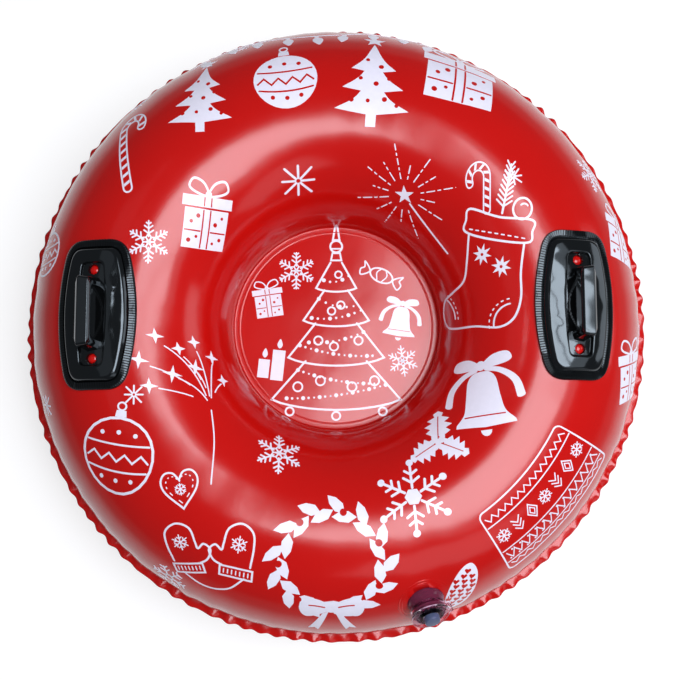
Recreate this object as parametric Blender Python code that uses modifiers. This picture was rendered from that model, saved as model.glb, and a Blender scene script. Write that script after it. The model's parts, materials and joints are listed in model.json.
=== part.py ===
"""Inflatable snow tube: two round vinyl sheets welded at an outer seam and round the seat,
two moulded grab handles welded to the ring's crown, and a capped non-return air valve.

Run with Blender 4.5: blender --background --python part.py
Metres, +Z up. The origin is the middle of the tube, on the ground.
"""

import math

import bmesh
import bpy
from mathutils import Matrix, Vector

# The inflated ring and its sheets
TUBE_RADIUS = 0.305  # from the middle of the tube to the middle of the ring's section
SECTION_RADIUS = 0.150  # of the ring's round section, to the outside of the sheet
CONTACT_HALF_WIDTH = 0.020  # of the band that the rider's weight presses flat on the ground
TOP_SHEET = 0.0008
BOTTOM_SHEET = 0.0010
SEAM_WIDTH = 0.0125  # of the flange welded round the outside
SEAT_WELD = 0.009  # width of the weld that bounds the seat
RING_STEPS = 60
SECTION_STEPS = 14

# Clearances
FIT = 0.0003  # between pieces that touch
CUT_OVERRUN = 0.004  # how far a cutter runs past what it cuts
MERGE = 0.00001  # between points that are one point

# The grab handles
RIGHT_SHIFT = 0.0135  # of the right handle along its length, from square to the tube's middle
LEFT_SHIFT = 0.0
HANDLE_LIFT = math.radians(78.0)  # of its middle, above the ring's outer equator
PLATE_LENGTH = 0.212
PLATE_WIDTH = 0.118
PLATE_END_WIDTH = 0.085
PLATE_CORNER = 0.024
RIM_WIDTH = 0.012
RIM_THICKNESS = 0.003
RIM_STEP = 0.0025  # from the rim up to the foot of the dome
STEP_RUN = 0.001
DOME_HEIGHT = 0.010
DOME_RUN = 0.019  # from the rim's step to the dome's flat top
UNDERSIDE_PITCH = 0.0145  # between the rings of points that bend the plate to the tube
WELL_LENGTH = 0.145
WELL_WIDTH = 0.038
WELL_END_WIDTH = 0.030
WELL_CORNER = 0.008
WELL_FLOOR = 0.0025
WELL_OFFSET = 0.002  # of the well and the grip from the plate's middle, outwards
BAR_LENGTH = 0.097
BAR_WIDTH = 0.0215
BAR_THICKNESS = 0.009
BAR_TOP = 0.043  # above the tube, at the handle's middle
BAR_POST = 0.011
BAR_CROWN = 0.005  # chamfer along the grip's upper edges
BAR_ARCH = 0.009  # radius where the grip turns down into a post
BAR_SHOULDER = 0.004
PEEP_RADIUS = 0.0068  # holes that show the vinyl at the ends of the well
PEEP_OFFSET = 0.0625

# The air valve, which stands on the ring's outer shoulder
VALVE_AZIMUTH = math.radians(-72.5)
VALVE_LIFT = math.radians(41.6)  # of its foot, above the outer equator
VALVE_SLOPE = math.radians(35.7)  # of its axis, above the horizontal
NECK_FOOT_RADIUS = 0.0253
NECK_MOUTH_RADIUS = 0.0215
NECK_HEIGHT = 0.023
NECK_FOOT_STRAIGHT = 0.002
THREAD_BORE_RADIUS = 0.0185
LOWER_BORE_RADIUS = 0.0155
SHOULDER_HEIGHT = 0.007  # ledge in the bore that the insert's gasket seals on
WELD_FLANGE_RADIUS = 0.036
WELD_FLANGE = 0.0015
GASKET = 0.001
INSERT_HEIGHT = 0.0099
INSERT_WALL = 0.0037
INSERT_WEB = 0.003
HUB_HOLE_RADIUS = 0.0022
AIR_HOLE_RADIUS = 0.0028
AIR_HOLE_RING = 0.0082
AIR_HOLES = 6
FLAP_RADIUS = 0.013
FLAP = 0.001
FLAP_TRAVEL = 0.003
STEM_RADIUS = 0.0018
STEM_HEAD_RADIUS = 0.0032
STEM_HEAD = 0.0012
CAP_RADIUS = 0.0275
CAP_BRIM = 0.0025
CAP_SKIRT = 0.0021
CAP_SKIRT_WALL = 0.0016
KNOB_RADIUS = 0.011
KNOB_HEIGHT = 0.009
KNOB_WALL = 0.0015
KNOB_EDGE = 0.001
TAB_WIDTH = 0.010
TAB_REACH = 0.0022  # of the cap's tab beyond its brim
LEASH_BASE = 0.012  # height of the leash's ring on the neck
LEASH_HEIGHT = 0.004
LEASH_WALL = 0.002
STRAP = 0.0016
HINGE_GAP = 0.0006  # where the leash's strap bends
VALVE_STEPS = 32

# The ring's heights
FLOOR_TO_MIDDLE = math.sqrt(SECTION_RADIUS**2 - CONTACT_HALF_WIDTH**2)
TOP_MIDDLE = FLOOR_TO_MIDDLE + FIT
EQUATOR = TUBE_RADIUS + SECTION_RADIUS
SEAT_RADIUS = TUBE_RADIUS - SECTION_RADIUS
# How far the middle of a facet of the top sheet lies inside the true round
FACET_DROP = EQUATOR * (1 - math.cos(math.pi / RING_STEPS)) + SECTION_RADIUS * (
    1 - math.cos(math.pi / (2 * SECTION_STEPS))
)

# The valve's heights along its axis, from the outside of the sheet
GASKET_BASE = SHOULDER_HEIGHT + FIT
INSERT_BASE = GASKET_BASE + GASKET + FIT
WEB_TOP = INSERT_BASE + INSERT_WEB
CAP_BASE = NECK_HEIGHT + FIT
CAP_TOP = CAP_BASE + CAP_BRIM
TAB_END = CAP_RADIUS + TAB_REACH


def clear_scene():
    for obj in list(bpy.data.objects):
        bpy.data.objects.remove(obj, do_unlink=True)


def new_collection(name, hidden=False):
    collection = bpy.data.collections.new(name)
    collection.hide_render = hidden
    bpy.context.scene.collection.children.link(collection)
    return collection


def material(name, colour, roughness, transmission=0.0, ior=1.53):
    made = bpy.data.materials.new(name)
    made.use_nodes = True
    shader = made.node_tree.nodes["Principled BSDF"]
    shader.inputs["Base Color"].default_value = (*colour, 1.0)
    shader.inputs["Roughness"].default_value = roughness
    shader.inputs["Metallic"].default_value = 0.0
    shader.inputs["Transmission Weight"].default_value = transmission
    shader.inputs["IOR"].default_value = ior
    return made


def add_object(name, mesh, collection, finish=None, matrix=None):
    obj = bpy.data.objects.new(name, mesh)
    if matrix is not None:
        obj.matrix_world = matrix
    if finish is not None and not mesh.materials:
        mesh.materials.append(finish)
    collection.objects.link(obj)
    return obj


def shade(mesh):
    mesh.shade_smooth()
    mesh.set_sharp_from_angle(angle=math.radians(35))


def mesh_from(bm, name):
    mesh = bpy.data.meshes.new(name)
    bm.to_mesh(mesh)
    bm.free()
    return mesh


def profile_mesh(name, points, closed):
    """A line of points in the XZ plane, for a Screw modifier to turn."""
    bm = bmesh.new()
    verts = [bm.verts.new((radius, 0.0, height)) for radius, height in points]
    ends = verts[1:] + verts[:1] if closed else verts[1:]
    for start, end in zip(verts, ends):
        bm.edges.new((start, end))
    return mesh_from(bm, name)


def add_screw(obj, steps):
    screw = obj.modifiers.new("Turn", "SCREW")
    screw.steps = steps
    screw.render_steps = steps
    screw.use_merge_vertices = True
    screw.merge_threshold = MERGE


def add_boolean(obj, operation, other):
    boolean = obj.modifiers.new(operation.title(), "BOOLEAN")
    boolean.operation = operation
    boolean.solver = "EXACT"
    boolean.object = other


def make_cutter(obj):
    obj.hide_render = True
    obj.display_type = "WIRE"
    return obj


def baked(obj, collection):
    """Replaces an object by one that holds its evaluated mesh, welded, shaded smooth, with no modifiers."""
    bpy.context.view_layer.update()
    graph = bpy.context.evaluated_depsgraph_get()
    mesh = bpy.data.meshes.new_from_object(obj.evaluated_get(graph))
    bm = bmesh.new()
    bm.from_mesh(mesh)
    bmesh.ops.remove_doubles(bm, verts=bm.verts, dist=MERGE)
    bm.to_mesh(mesh)
    bm.free()
    shade(mesh)
    name = obj.name
    matrix = obj.matrix_world.copy()
    finish = obj.active_material
    bpy.data.objects.remove(obj, do_unlink=True)
    return add_object(name, mesh, collection, finish, matrix)


def add_empty(name, matrix, collection):
    empty = bpy.data.objects.new(name, None)
    empty.matrix_world = matrix
    empty.hide_render = True
    collection.objects.link(empty)
    return empty


def hang(obj, parent):
    """Parents an object where it stands."""
    obj.parent = parent
    obj.matrix_parent_inverse = parent.matrix_world.inverted()


def cylinder(name, radius, low, high, collection, matrix, steps=24):
    bm = bmesh.new()
    middle = Matrix.Translation((0.0, 0.0, (low + high) / 2))
    bmesh.ops.create_cone(
        bm, cap_ends=True, segments=steps, radius1=radius, radius2=radius, depth=high - low, matrix=middle
    )
    return add_object(name, mesh_from(bm, name), collection, matrix=matrix)


def arc(start, end, steps):
    return [start + (end - start) * i / steps for i in range(steps + 1)]


def top_profile():
    """The inner face of the top sheet, from the seat's middle over the ring to the seam's edge."""
    inside = SECTION_RADIUS - TOP_SHEET
    points = [(0.0, TOP_MIDDLE), (SEAT_RADIUS + TOP_SHEET - SEAT_WELD, TOP_MIDDLE)]
    for angle in arc(math.pi, 0.0, SECTION_STEPS):
        points.append((TUBE_RADIUS + inside * math.cos(angle), TOP_MIDDLE + inside * math.sin(angle)))
    points.append((EQUATOR + SEAM_WIDTH, TOP_MIDDLE))
    return points


def bottom_profile():
    """The inner face of the bottom sheet, from the seam's edge under the ring, with the band that lies
    flat on the ground, to the seat's middle. It runs the other way, so its faces point down."""
    inside = SECTION_RADIUS - BOTTOM_SHEET
    lowest = math.asin((FLOOR_TO_MIDDLE - BOTTOM_SHEET) / inside)
    half = SECTION_STEPS // 2
    points = [(EQUATOR + SEAM_WIDTH, FLOOR_TO_MIDDLE)]
    for angle in arc(0.0, lowest, half) + arc(math.pi - lowest, math.pi, half):
        points.append((TUBE_RADIUS + inside * math.cos(angle), FLOOR_TO_MIDDLE - inside * math.sin(angle)))
    points.append((SEAT_RADIUS + BOTTOM_SHEET - SEAT_WELD, FLOOR_TO_MIDDLE))
    points.append((0.0, FLOOR_TO_MIDDLE))
    return points


def make_sheet(name, points, thickness, finish, collection):
    obj = add_object(name, profile_mesh(name, points, closed=False), collection, finish)
    add_screw(obj, RING_STEPS)
    solidify = obj.modifiers.new("Thickness", "SOLIDIFY")
    solidify.thickness = thickness
    solidify.offset = 1.0
    solidify.use_even_offset = True
    return baked(obj, collection)


def surface_point(plan_x, plan_y, above):
    """The point this far outside the top sheet, over a place in plan on the ring."""
    reach = math.hypot(plan_x, plan_y)
    outward = (reach - TUBE_RADIUS) / SECTION_RADIUS
    upward = math.sqrt(max(0.0, 1 - outward**2))
    radius = TUBE_RADIUS + (SECTION_RADIUS + above) * outward
    height = TOP_MIDDLE + (SECTION_RADIUS + above) * upward
    return Vector((radius * plan_x / reach, radius * plan_y / reach, height))


def on_ring(along, across, above):
    """Bends a flat handle round the ring: along its length, across it outwards, and above the sheet."""
    lift = HANDLE_LIFT - across / SECTION_RADIUS
    return surface_point(TUBE_RADIUS + SECTION_RADIUS * math.cos(lift), along, above)


def handle_frame(middle):
    """The axes at a place (along, across) on a handle: X outwards across it, Y along it, Z off the sheet."""
    foot = on_ring(*middle, 0.0)
    off = (on_ring(*middle, SECTION_RADIUS) - foot).normalized()
    along = Vector((0.0, 1.0, 0.0))
    along = (along - off * along.dot(off)).normalized()
    turn = Matrix((along.cross(off), along, off)).transposed().to_4x4()
    return Matrix.Translation(foot) @ turn


def curve_point(start, corner, end, t):
    """A point on the curve that leaves start and reaches end along the lines to their shared corner."""
    return tuple((1 - t) ** 2 * a + 2 * t * (1 - t) * b + t**2 * c for a, b, c in zip(start, corner, end))


def barrel(length, width, end_width, corner):
    """A rectangle with bowed long sides and round corners, as (along, across), symmetric end to end and
    side to side. It starts at the middle of the far end."""
    half_length = length / 2
    bow = (width - end_width) / 2

    def side(along):
        return width / 2 - bow * (along / half_length) ** 2

    corner_top = (half_length, side(half_length))
    leave = (half_length, side(half_length) - corner)
    quarter = [(half_length, 0.0), (half_length, leave[1] / 2)]
    join = (half_length - corner, side(half_length - corner))
    for t in arc(0.0, 1.0, 4):
        quarter.append(curve_point(leave, corner_top, join, t))
    for along in arc(half_length - corner, 0.0, 4)[1:]:
        quarter.append((along, side(along)))
    near = [(-along, across) for along, across in reversed(quarter[:-1])]
    upper = quarter + near
    return upper + [(along, -across) for along, across in reversed(upper[1:-1])]


def loft(name, outline, size, steps, middle):
    """Bends closed rings onto the ring tube about a middle (along, across), and skins them. Each step is
    how far the outline is drawn in from its edge, and its height above the sheet. The ends are closed by
    strips across the outline."""
    bm = bmesh.new()
    count = len(outline)
    rings = []
    for inset, above in steps:
        along_share = 1 - 2 * inset / size[0]
        across_share = 1 - 2 * inset / size[1]
        ring = []
        for along, across in outline:
            place = on_ring(middle[0] + along * along_share, middle[1] + across * across_share, above)
            ring.append(bm.verts.new(place))
        rings.append(ring)
    for low, high in zip(rings, rings[1:]):
        for i in range(count):
            bm.faces.new((low[i], low[(i + 1) % count], high[(i + 1) % count], high[i]))
    for ring in (rings[0], rings[-1]):
        for i in range(count // 2):
            corners = (ring[i], ring[i + 1], ring[(count - i - 1) % count], ring[(count - i) % count])
            bm.faces.new(tuple(dict.fromkeys(corners)))
    bmesh.ops.recalc_face_normals(bm, faces=bm.faces)
    return mesh_from(bm, name)


def plate_steps():
    """The handle's plate from the middle of its underside, round the ribbed rim and up over the dome."""
    strips = int((PLATE_WIDTH / 2) // UNDERSIDE_PITCH)
    under = [(UNDERSIDE_PITCH * i, FIT) for i in range(strips, -1, -1)]
    dome_foot = RIM_THICKNESS + RIM_STEP
    rim = [(0.0, RIM_THICKNESS), (RIM_WIDTH, RIM_THICKNESS), (RIM_WIDTH + STEP_RUN, dome_foot)]
    dome = []
    for angle in arc(0.0, math.pi / 2, 3)[1:]:
        inset = RIM_WIDTH + STEP_RUN + DOME_RUN * math.sin(angle)
        dome.append((inset, DOME_HEIGHT - (DOME_HEIGHT - dome_foot) * math.cos(angle)))
    return under + rim + dome + [((PLATE_WIDTH - WELL_WIDTH / 2) / 2, DOME_HEIGHT)]


def well_steps():
    draw_in = WELL_WIDTH / 3
    over = DOME_HEIGHT + CUT_OVERRUN
    return [(draw_in, WELL_FLOOR), (0.0, WELL_FLOOR), (0.0, over), (draw_in, over)]


def rounded(points):
    """The outline with each (x, y, radius) corner cut by a short curve, sharp where the radius is 0."""
    made = []
    for before, (x, y, radius), after in zip(points[-1:] + points[:-1], points, points[1:] + points[:1]):
        if not radius:
            made.append(Vector((x, y, 0.0)))
            continue
        corner = Vector((x, y, 0.0))
        start = corner + (Vector((before[0], before[1], 0.0)) - corner).normalized() * radius
        end = corner + (Vector((after[0], after[1], 0.0)) - corner).normalized() * radius
        made += [Vector(curve_point(start, corner, end, t)) for t in arc(0.0, 1.0, 3)]
    return made


def slab(name, outline, width):
    """An outline extruded by this width about its own plane, as a mesh."""
    curve = bpy.data.curves.new(name, "CURVE")
    curve.dimensions = "2D"
    curve.fill_mode = "BOTH"
    curve.extrude = width / 2
    spline = curve.splines.new("POLY")
    spline.points.add(len(outline) - 1)
    for point, place in zip(spline.points, outline):
        point.co = (place.x, place.y, 0.0, 1.0)
    spline.use_cyclic_u = True
    guide = bpy.data.objects.new(name, curve)
    bpy.context.scene.collection.objects.link(guide)
    bpy.context.view_layer.update()
    mesh = bpy.data.meshes.new_from_object(guide.evaluated_get(bpy.context.evaluated_depsgraph_get()))
    bpy.data.objects.remove(guide, do_unlink=True)
    bm = bmesh.new()
    bm.from_mesh(mesh)
    bpy.data.meshes.remove(mesh)
    bmesh.ops.remove_doubles(bm, verts=bm.verts, dist=MERGE)
    bmesh.ops.recalc_face_normals(bm, faces=bm.faces)
    return bm


def bar_mesh(name):
    """The grip: a straight bridge on two posts, drawn from the side and extruded across."""
    half = BAR_LENGTH / 2
    inner = half - BAR_POST
    under = BAR_TOP - BAR_THICKNESS
    outline = rounded(
        [
            (-half, 0.0, 0.0),
            (-half, BAR_TOP, BAR_SHOULDER),
            (half, BAR_TOP, BAR_SHOULDER),
            (half, 0.0, 0.0),
            (inner, 0.0, 0.0),
            (inner, under, BAR_ARCH),
            (-inner, under, BAR_ARCH),
            (-inner, 0.0, 0.0),
        ]
    )
    bm = slab(name, outline, BAR_WIDTH)
    # From the curve's plane, where Y is up and Z is across, to the handle's
    bmesh.ops.transform(
        bm, matrix=Matrix(((0, 0, 1, 0), (1, 0, 0, 0), (0, 1, 0, 0), (0, 0, 0, 1))), verts=bm.verts
    )
    crown = [
        edge
        for edge in bm.edges
        if all(abs(abs(v.co.x) - BAR_WIDTH / 2) < FIT and v.co.z > BAR_TOP - FIT for v in edge.verts)
    ]
    bmesh.ops.bevel(bm, geom=crown, offset=BAR_CROWN, segments=1, affect="EDGES")
    bmesh.ops.remove_doubles(bm, verts=bm.verts, dist=MERGE)
    bmesh.ops.recalc_face_normals(bm, faces=bm.faces)
    return mesh_from(bm, name)


def make_handle(name, azimuth, shift, finish, collection, cutters):
    """One moulding: a ribbed plate with a domed top, a well sunk in it, and a grip bar over the well."""
    plate_outline = barrel(PLATE_LENGTH, PLATE_WIDTH, PLATE_END_WIDTH, PLATE_CORNER)
    plate = loft(name, plate_outline, (PLATE_LENGTH, PLATE_WIDTH), plate_steps(), (shift, 0.0))
    shade(plate)
    well_outline = barrel(WELL_LENGTH, WELL_WIDTH, WELL_END_WIDTH, WELL_CORNER)
    middle = (shift, WELL_OFFSET)
    well = loft(f"{name}_well", well_outline, (WELL_LENGTH, WELL_WIDTH), well_steps(), middle)
    turn = Matrix.Rotation(azimuth, 4, "Z")
    place = turn @ handle_frame(middle)
    obj = add_object(name, plate, collection, finish, turn)
    add_boolean(obj, "DIFFERENCE", make_cutter(add_object(well.name, well, cutters, matrix=turn)))
    grip = bar_mesh(f"{name}_grip")
    add_boolean(obj, "UNION", make_cutter(add_object(grip.name, grip, cutters, matrix=place)))
    for side in (-1, 1):
        hole = place @ Matrix.Translation((0.0, side * PEEP_OFFSET, 0.0))
        low = -PLATE_WIDTH / 2
        high = WELL_FLOOR + CUT_OVERRUN
        peep = cylinder(f"{name}_peep", PEEP_RADIUS, low, high, cutters, hole)
        add_boolean(obj, "DIFFERENCE", make_cutter(peep))


def valve_frame():
    """The valve's own axes at its foot: Z out along it, X round the ring."""
    turn = Matrix.Rotation(VALVE_AZIMUTH, 4, "Z")
    foot = turn @ surface_point(TUBE_RADIUS + SECTION_RADIUS * math.cos(VALVE_LIFT), 0.0, 0.0)
    round_ring = turn.to_3x3() @ Vector((0.0, 1.0, 0.0))
    axis = turn.to_3x3() @ Vector((math.cos(VALVE_SLOPE), 0.0, math.sin(VALVE_SLOPE)))
    axes = Matrix((round_ring, axis.cross(round_ring), axis)).transposed().to_4x4()
    return Matrix.Translation(foot) @ axes


def sheet_depth(place, frame):
    """How far along the valve's axis the sheet's true round lies from a place beside the axis."""
    height = 0.0
    for _ in range(8):
        point = frame @ Vector((place.x, place.y, height))
        reach = math.hypot(point.x, point.y)
        apart = math.hypot(reach - TUBE_RADIUS, point.z - TOP_MIDDLE) - SECTION_RADIUS
        height -= apart
    return height


def neck_radius(height):
    share = (height - NECK_FOOT_STRAIGHT) / (NECK_HEIGHT - NECK_FOOT_STRAIGHT)
    return NECK_FOOT_RADIUS + (NECK_MOUTH_RADIUS - NECK_FOOT_RADIUS) * share


def make_valve_body(finish, collection, frame):
    """The clear neck, with its thread bore, gasket ledge and the flange welded under the sheet."""
    flange_top = -(TOP_SHEET + FACET_DROP + FIT)
    flange_base = flange_top - WELD_FLANGE
    flange_middle = (NECK_FOOT_RADIUS + WELD_FLANGE_RADIUS) / 2
    points = [
        (NECK_MOUTH_RADIUS, NECK_HEIGHT),
        (NECK_FOOT_RADIUS, NECK_FOOT_STRAIGHT),
        (NECK_FOOT_RADIUS, flange_top),
        (flange_middle, flange_top),
        (WELD_FLANGE_RADIUS, flange_top),
        (WELD_FLANGE_RADIUS, flange_base),
        (flange_middle, flange_base),
        (LOWER_BORE_RADIUS, flange_base),
        (LOWER_BORE_RADIUS, SHOULDER_HEIGHT),
        (THREAD_BORE_RADIUS, SHOULDER_HEIGHT),
        (THREAD_BORE_RADIUS, NECK_HEIGHT),
    ]
    obj = add_object("valve_body", profile_mesh("valve_body", points, closed=True), collection, finish, frame)
    add_screw(obj, VALVE_STEPS)
    obj = baked(obj, collection)
    for vert in obj.data.vertices:
        if vert.co.z < 0:
            vert.co.z += sheet_depth(vert.co, frame)
    return obj


def turned(name, points, finish, collection, frame, closed=True):
    """A turned piece on the valve's axis. An open profile starts and ends on the axis."""
    obj = add_object(name, profile_mesh(name, points, closed), collection, finish, frame)
    add_screw(obj, VALVE_STEPS)
    return baked(obj, collection)


def make_gasket(finish, collection, frame):
    inner = LOWER_BORE_RADIUS + FIT
    outer = THREAD_BORE_RADIUS - FIT
    top = GASKET_BASE + GASKET
    points = [(outer, top), (outer, GASKET_BASE), (inner, GASKET_BASE), (inner, top)]
    return turned("insert_gasket", points, finish, collection, frame)


def make_insert(finish, collection, cutters, frame):
    """The black screw-in insert: a cup whose web is pierced for the air and for the flap's stem."""
    outer = THREAD_BORE_RADIUS - FIT
    inner = outer - INSERT_WALL
    top = INSERT_BASE + INSERT_HEIGHT
    points = [
        (outer, top),
        (outer, INSERT_BASE),
        (HUB_HOLE_RADIUS, INSERT_BASE),
        (HUB_HOLE_RADIUS, WEB_TOP),
        (inner, WEB_TOP),
        (inner, top),
    ]
    obj = turned("valve_insert", points, finish, collection, frame)
    for i in range(AIR_HOLES):
        turn = Matrix.Rotation(2 * math.pi * i / AIR_HOLES, 4, "Z")
        place = turn @ Matrix.Translation((AIR_HOLE_RING, 0.0, 0.0))
        low = INSERT_BASE - CUT_OVERRUN
        high = WEB_TOP + CUT_OVERRUN
        hole = cylinder("air_hole", AIR_HOLE_RADIUS, low, high, cutters, frame @ place, steps=12)
        add_boolean(obj, "DIFFERENCE", make_cutter(hole))
    return obj


def make_flap(finish, collection, frame):
    """The one-way rubber flap under the web, held by its mushroom stem."""
    flap_top = INSERT_BASE - FIT
    flap_base = flap_top - FLAP
    head_base = WEB_TOP + FIT + FLAP_TRAVEL
    head_top = head_base + STEM_HEAD
    points = [
        (0.0, head_top),
        (STEM_HEAD_RADIUS, head_top),
        (STEM_HEAD_RADIUS, head_base),
        (STEM_RADIUS, head_base),
        (STEM_RADIUS, flap_top),
        (FLAP_RADIUS, flap_top),
        (FLAP_RADIUS, flap_base),
        (0.0, flap_base),
    ]
    return turned("valve_flap", points, finish, collection, frame, closed=False)


def make_cap(finish, collection, cutters, frame):
    """The clear cap: brim, hollow knob, a skirt that plugs the neck, and the tab it hinges on."""
    skirt_outer = THREAD_BORE_RADIUS - FIT
    skirt_inner = skirt_outer - CAP_SKIRT_WALL
    skirt_base = CAP_BASE - CAP_SKIRT
    knob_top = CAP_TOP + KNOB_HEIGHT
    hollow = KNOB_RADIUS - KNOB_WALL
    hollow_top = knob_top - KNOB_WALL
    points = [
        (0.0, knob_top),
        (KNOB_RADIUS - KNOB_EDGE, knob_top),
        (KNOB_RADIUS, knob_top - KNOB_EDGE),
        (KNOB_RADIUS, CAP_TOP),
        (CAP_RADIUS, CAP_TOP),
        (CAP_RADIUS, CAP_BASE),
        (skirt_outer, CAP_BASE),
        (skirt_outer, skirt_base),
        (skirt_inner, skirt_base),
        (skirt_inner, CAP_BASE),
        (hollow, CAP_BASE),
        (hollow, hollow_top),
        (0.0, hollow_top),
    ]
    obj = turned("valve_cap", points, finish, collection, frame, closed=False)
    bm = bmesh.new()
    bmesh.ops.create_cube(bm, size=1.0)
    root = CAP_RADIUS - CAP_BRIM
    inset = CAP_BRIM / 8
    size = (TAB_END - root, TAB_WIDTH, CAP_BRIM - 2 * inset)
    middle = Vector(((TAB_END + root) / 2, 0.0, (CAP_BASE + CAP_TOP) / 2))
    bmesh.ops.scale(bm, vec=size, verts=bm.verts)
    tab = add_object("cap_tab", mesh_from(bm, "cap_tab"), cutters, matrix=frame @ Matrix.Translation(middle))
    add_boolean(obj, "UNION", make_cutter(tab))
    return obj


def make_leash(finish, collection, cutters, frame):
    """The ring round the neck, and the strap that rises from it to the cap's tab."""
    inner = neck_radius(LEASH_BASE) + FIT
    outer = inner + LEASH_WALL
    top = LEASH_BASE + LEASH_HEIGHT
    points = [(outer, top), (outer, LEASH_BASE), (inner, LEASH_BASE), (inner, top)]
    obj = turned("cap_leash", points, finish, collection, frame)
    near = TAB_END + HINGE_GAP
    far = near + STRAP
    root = inner + LEASH_WALL / 2
    strap_base = LEASH_BASE + LEASH_HEIGHT / 8
    strap_top = top - LEASH_HEIGHT / 8
    outline = [
        Vector((root, strap_base, 0.0)),
        Vector((far, strap_base, 0.0)),
        Vector((far, CAP_TOP - FIT, 0.0)),
        Vector((near, CAP_TOP - FIT, 0.0)),
        Vector((near, strap_top, 0.0)),
        Vector((root, strap_top, 0.0)),
    ]
    bm = slab("leash_strap", outline, TAB_WIDTH)
    # From the curve's plane to the valve's: X stays, the outline's Y runs up the axis
    bmesh.ops.transform(
        bm, matrix=Matrix(((1, 0, 0, 0), (0, 0, -1, 0), (0, 1, 0, 0), (0, 0, 0, 1))), verts=bm.verts
    )
    strap = add_object("leash_strap", mesh_from(bm, "leash_strap"), cutters, matrix=frame)
    add_boolean(obj, "UNION", make_cutter(strap))
    return obj


def make_valve(clear, plastic, rubber, collection, cutters, frame):
    """The valve's pieces stand on an empty at its foot, and the cap on one at its hinge."""
    foot = add_empty("valve_foot", frame, collection)
    hinge_place = Matrix.Translation((TAB_END + HINGE_GAP / 2, 0.0, CAP_TOP))
    hinge = add_empty("cap_hinge", frame @ hinge_place, collection)
    hang(hinge, foot)
    for piece in (
        make_valve_body(clear, collection, frame),
        make_gasket(rubber, collection, frame),
        make_insert(plastic, collection, cutters, frame),
        make_flap(rubber, collection, frame),
        make_leash(clear, collection, cutters, frame),
    ):
        hang(piece, foot)
    hang(make_cap(clear, collection, cutters, frame), hinge)


def main():
    clear_scene()
    tube = new_collection("SnowTube")
    cutters = new_collection("Cutters", hidden=True)
    red = material("red_vinyl", (0.58, 0.013, 0.010), 0.22)
    black = material("black_moulded_vinyl", (0.006, 0.006, 0.007), 0.18)
    clear = material("clear_vinyl", (0.90, 0.86, 0.90), 0.08, transmission=1.0)
    plastic = material("black_plastic", (0.010, 0.012, 0.011), 0.30)
    rubber = material("soft_rubber", (0.020, 0.020, 0.022), 0.60)

    frame = valve_frame()
    top = make_sheet("top_sheet", top_profile(), TOP_SHEET, red, tube)
    make_sheet("bottom_sheet", bottom_profile(), BOTTOM_SHEET, red, tube)
    neck_hole = cylinder(
        "neck_hole", NECK_FOOT_RADIUS + FIT, -SECTION_RADIUS / 4, NECK_HEIGHT, cutters, frame, VALVE_STEPS
    )
    add_boolean(top, "DIFFERENCE", make_cutter(neck_hole))
    make_handle("handle_right", 0.0, RIGHT_SHIFT, black, tube, cutters)
    make_handle("handle_left", math.pi, LEFT_SHIFT, black, tube, cutters)
    make_valve(clear, plastic, rubber, tube, cutters, frame)


main()
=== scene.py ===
"""Looks of the inflated snow tube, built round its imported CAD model.

The top and bottom sheets, the ruffled seam flange, the print, the moulded handles and the air valve are
numpy surfaces that stand for the CAD nodes. Metres, +Z up, the CAD's own frame.
"""

import json
import math

import bmesh
import bpy
import numpy as np
from mathutils import Matrix, Vector

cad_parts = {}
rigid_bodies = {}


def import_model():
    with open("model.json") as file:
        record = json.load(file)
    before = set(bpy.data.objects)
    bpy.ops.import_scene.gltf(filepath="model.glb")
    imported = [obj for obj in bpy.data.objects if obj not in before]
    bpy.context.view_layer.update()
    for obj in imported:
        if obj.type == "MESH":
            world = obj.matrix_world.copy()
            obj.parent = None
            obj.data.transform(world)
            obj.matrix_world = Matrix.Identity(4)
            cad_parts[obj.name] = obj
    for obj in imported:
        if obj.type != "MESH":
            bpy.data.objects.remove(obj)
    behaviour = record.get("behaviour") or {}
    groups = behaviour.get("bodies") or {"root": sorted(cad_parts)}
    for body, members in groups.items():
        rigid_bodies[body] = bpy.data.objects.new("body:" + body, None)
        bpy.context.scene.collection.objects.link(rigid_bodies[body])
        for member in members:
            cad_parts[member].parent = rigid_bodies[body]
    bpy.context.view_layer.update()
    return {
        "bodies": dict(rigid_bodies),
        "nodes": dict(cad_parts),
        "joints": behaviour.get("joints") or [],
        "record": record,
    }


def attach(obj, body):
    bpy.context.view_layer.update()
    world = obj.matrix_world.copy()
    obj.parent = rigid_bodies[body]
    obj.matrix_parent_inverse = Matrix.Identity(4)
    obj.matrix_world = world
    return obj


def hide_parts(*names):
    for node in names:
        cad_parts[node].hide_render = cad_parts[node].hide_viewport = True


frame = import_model()

bl_info = {
    "name": "Snow tube",
    "version": (1, 0, 0),
    "blender": (4, 5, 0),
    "location": "View3D > Sidebar > Snow tube",
    "description": "Builds an inflated snow tube with its print, handles and air valve",
    "category": "Add Mesh",
}

# The ring and its sheets, as in the CAD
TUBE_RADIUS = 0.305
SECTION_RADIUS = 0.150
CONTACT_HALF_WIDTH = 0.020
FIT = 0.0003
TOP_SHEET = 0.0008
BOTTOM_SHEET = 0.0010
SEAM_EDGE = 0.4675
FLOOR_TO_MIDDLE = math.sqrt(SECTION_RADIUS**2 - CONTACT_HALF_WIDTH**2)
TOP_MIDDLE = FLOOR_TO_MIDDLE + FIT
EQUATOR = TUBE_RADIUS + SECTION_RADIUS
FOLD = 0.0022  # radius of the fold where the ring leaves the seat
WELD_LINE = 0.1462  # radius of the inner edge of the seat's weld
INNERMOST_ROW = 0.012  # radius of the sheets' first row, round the seat's middle

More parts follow.
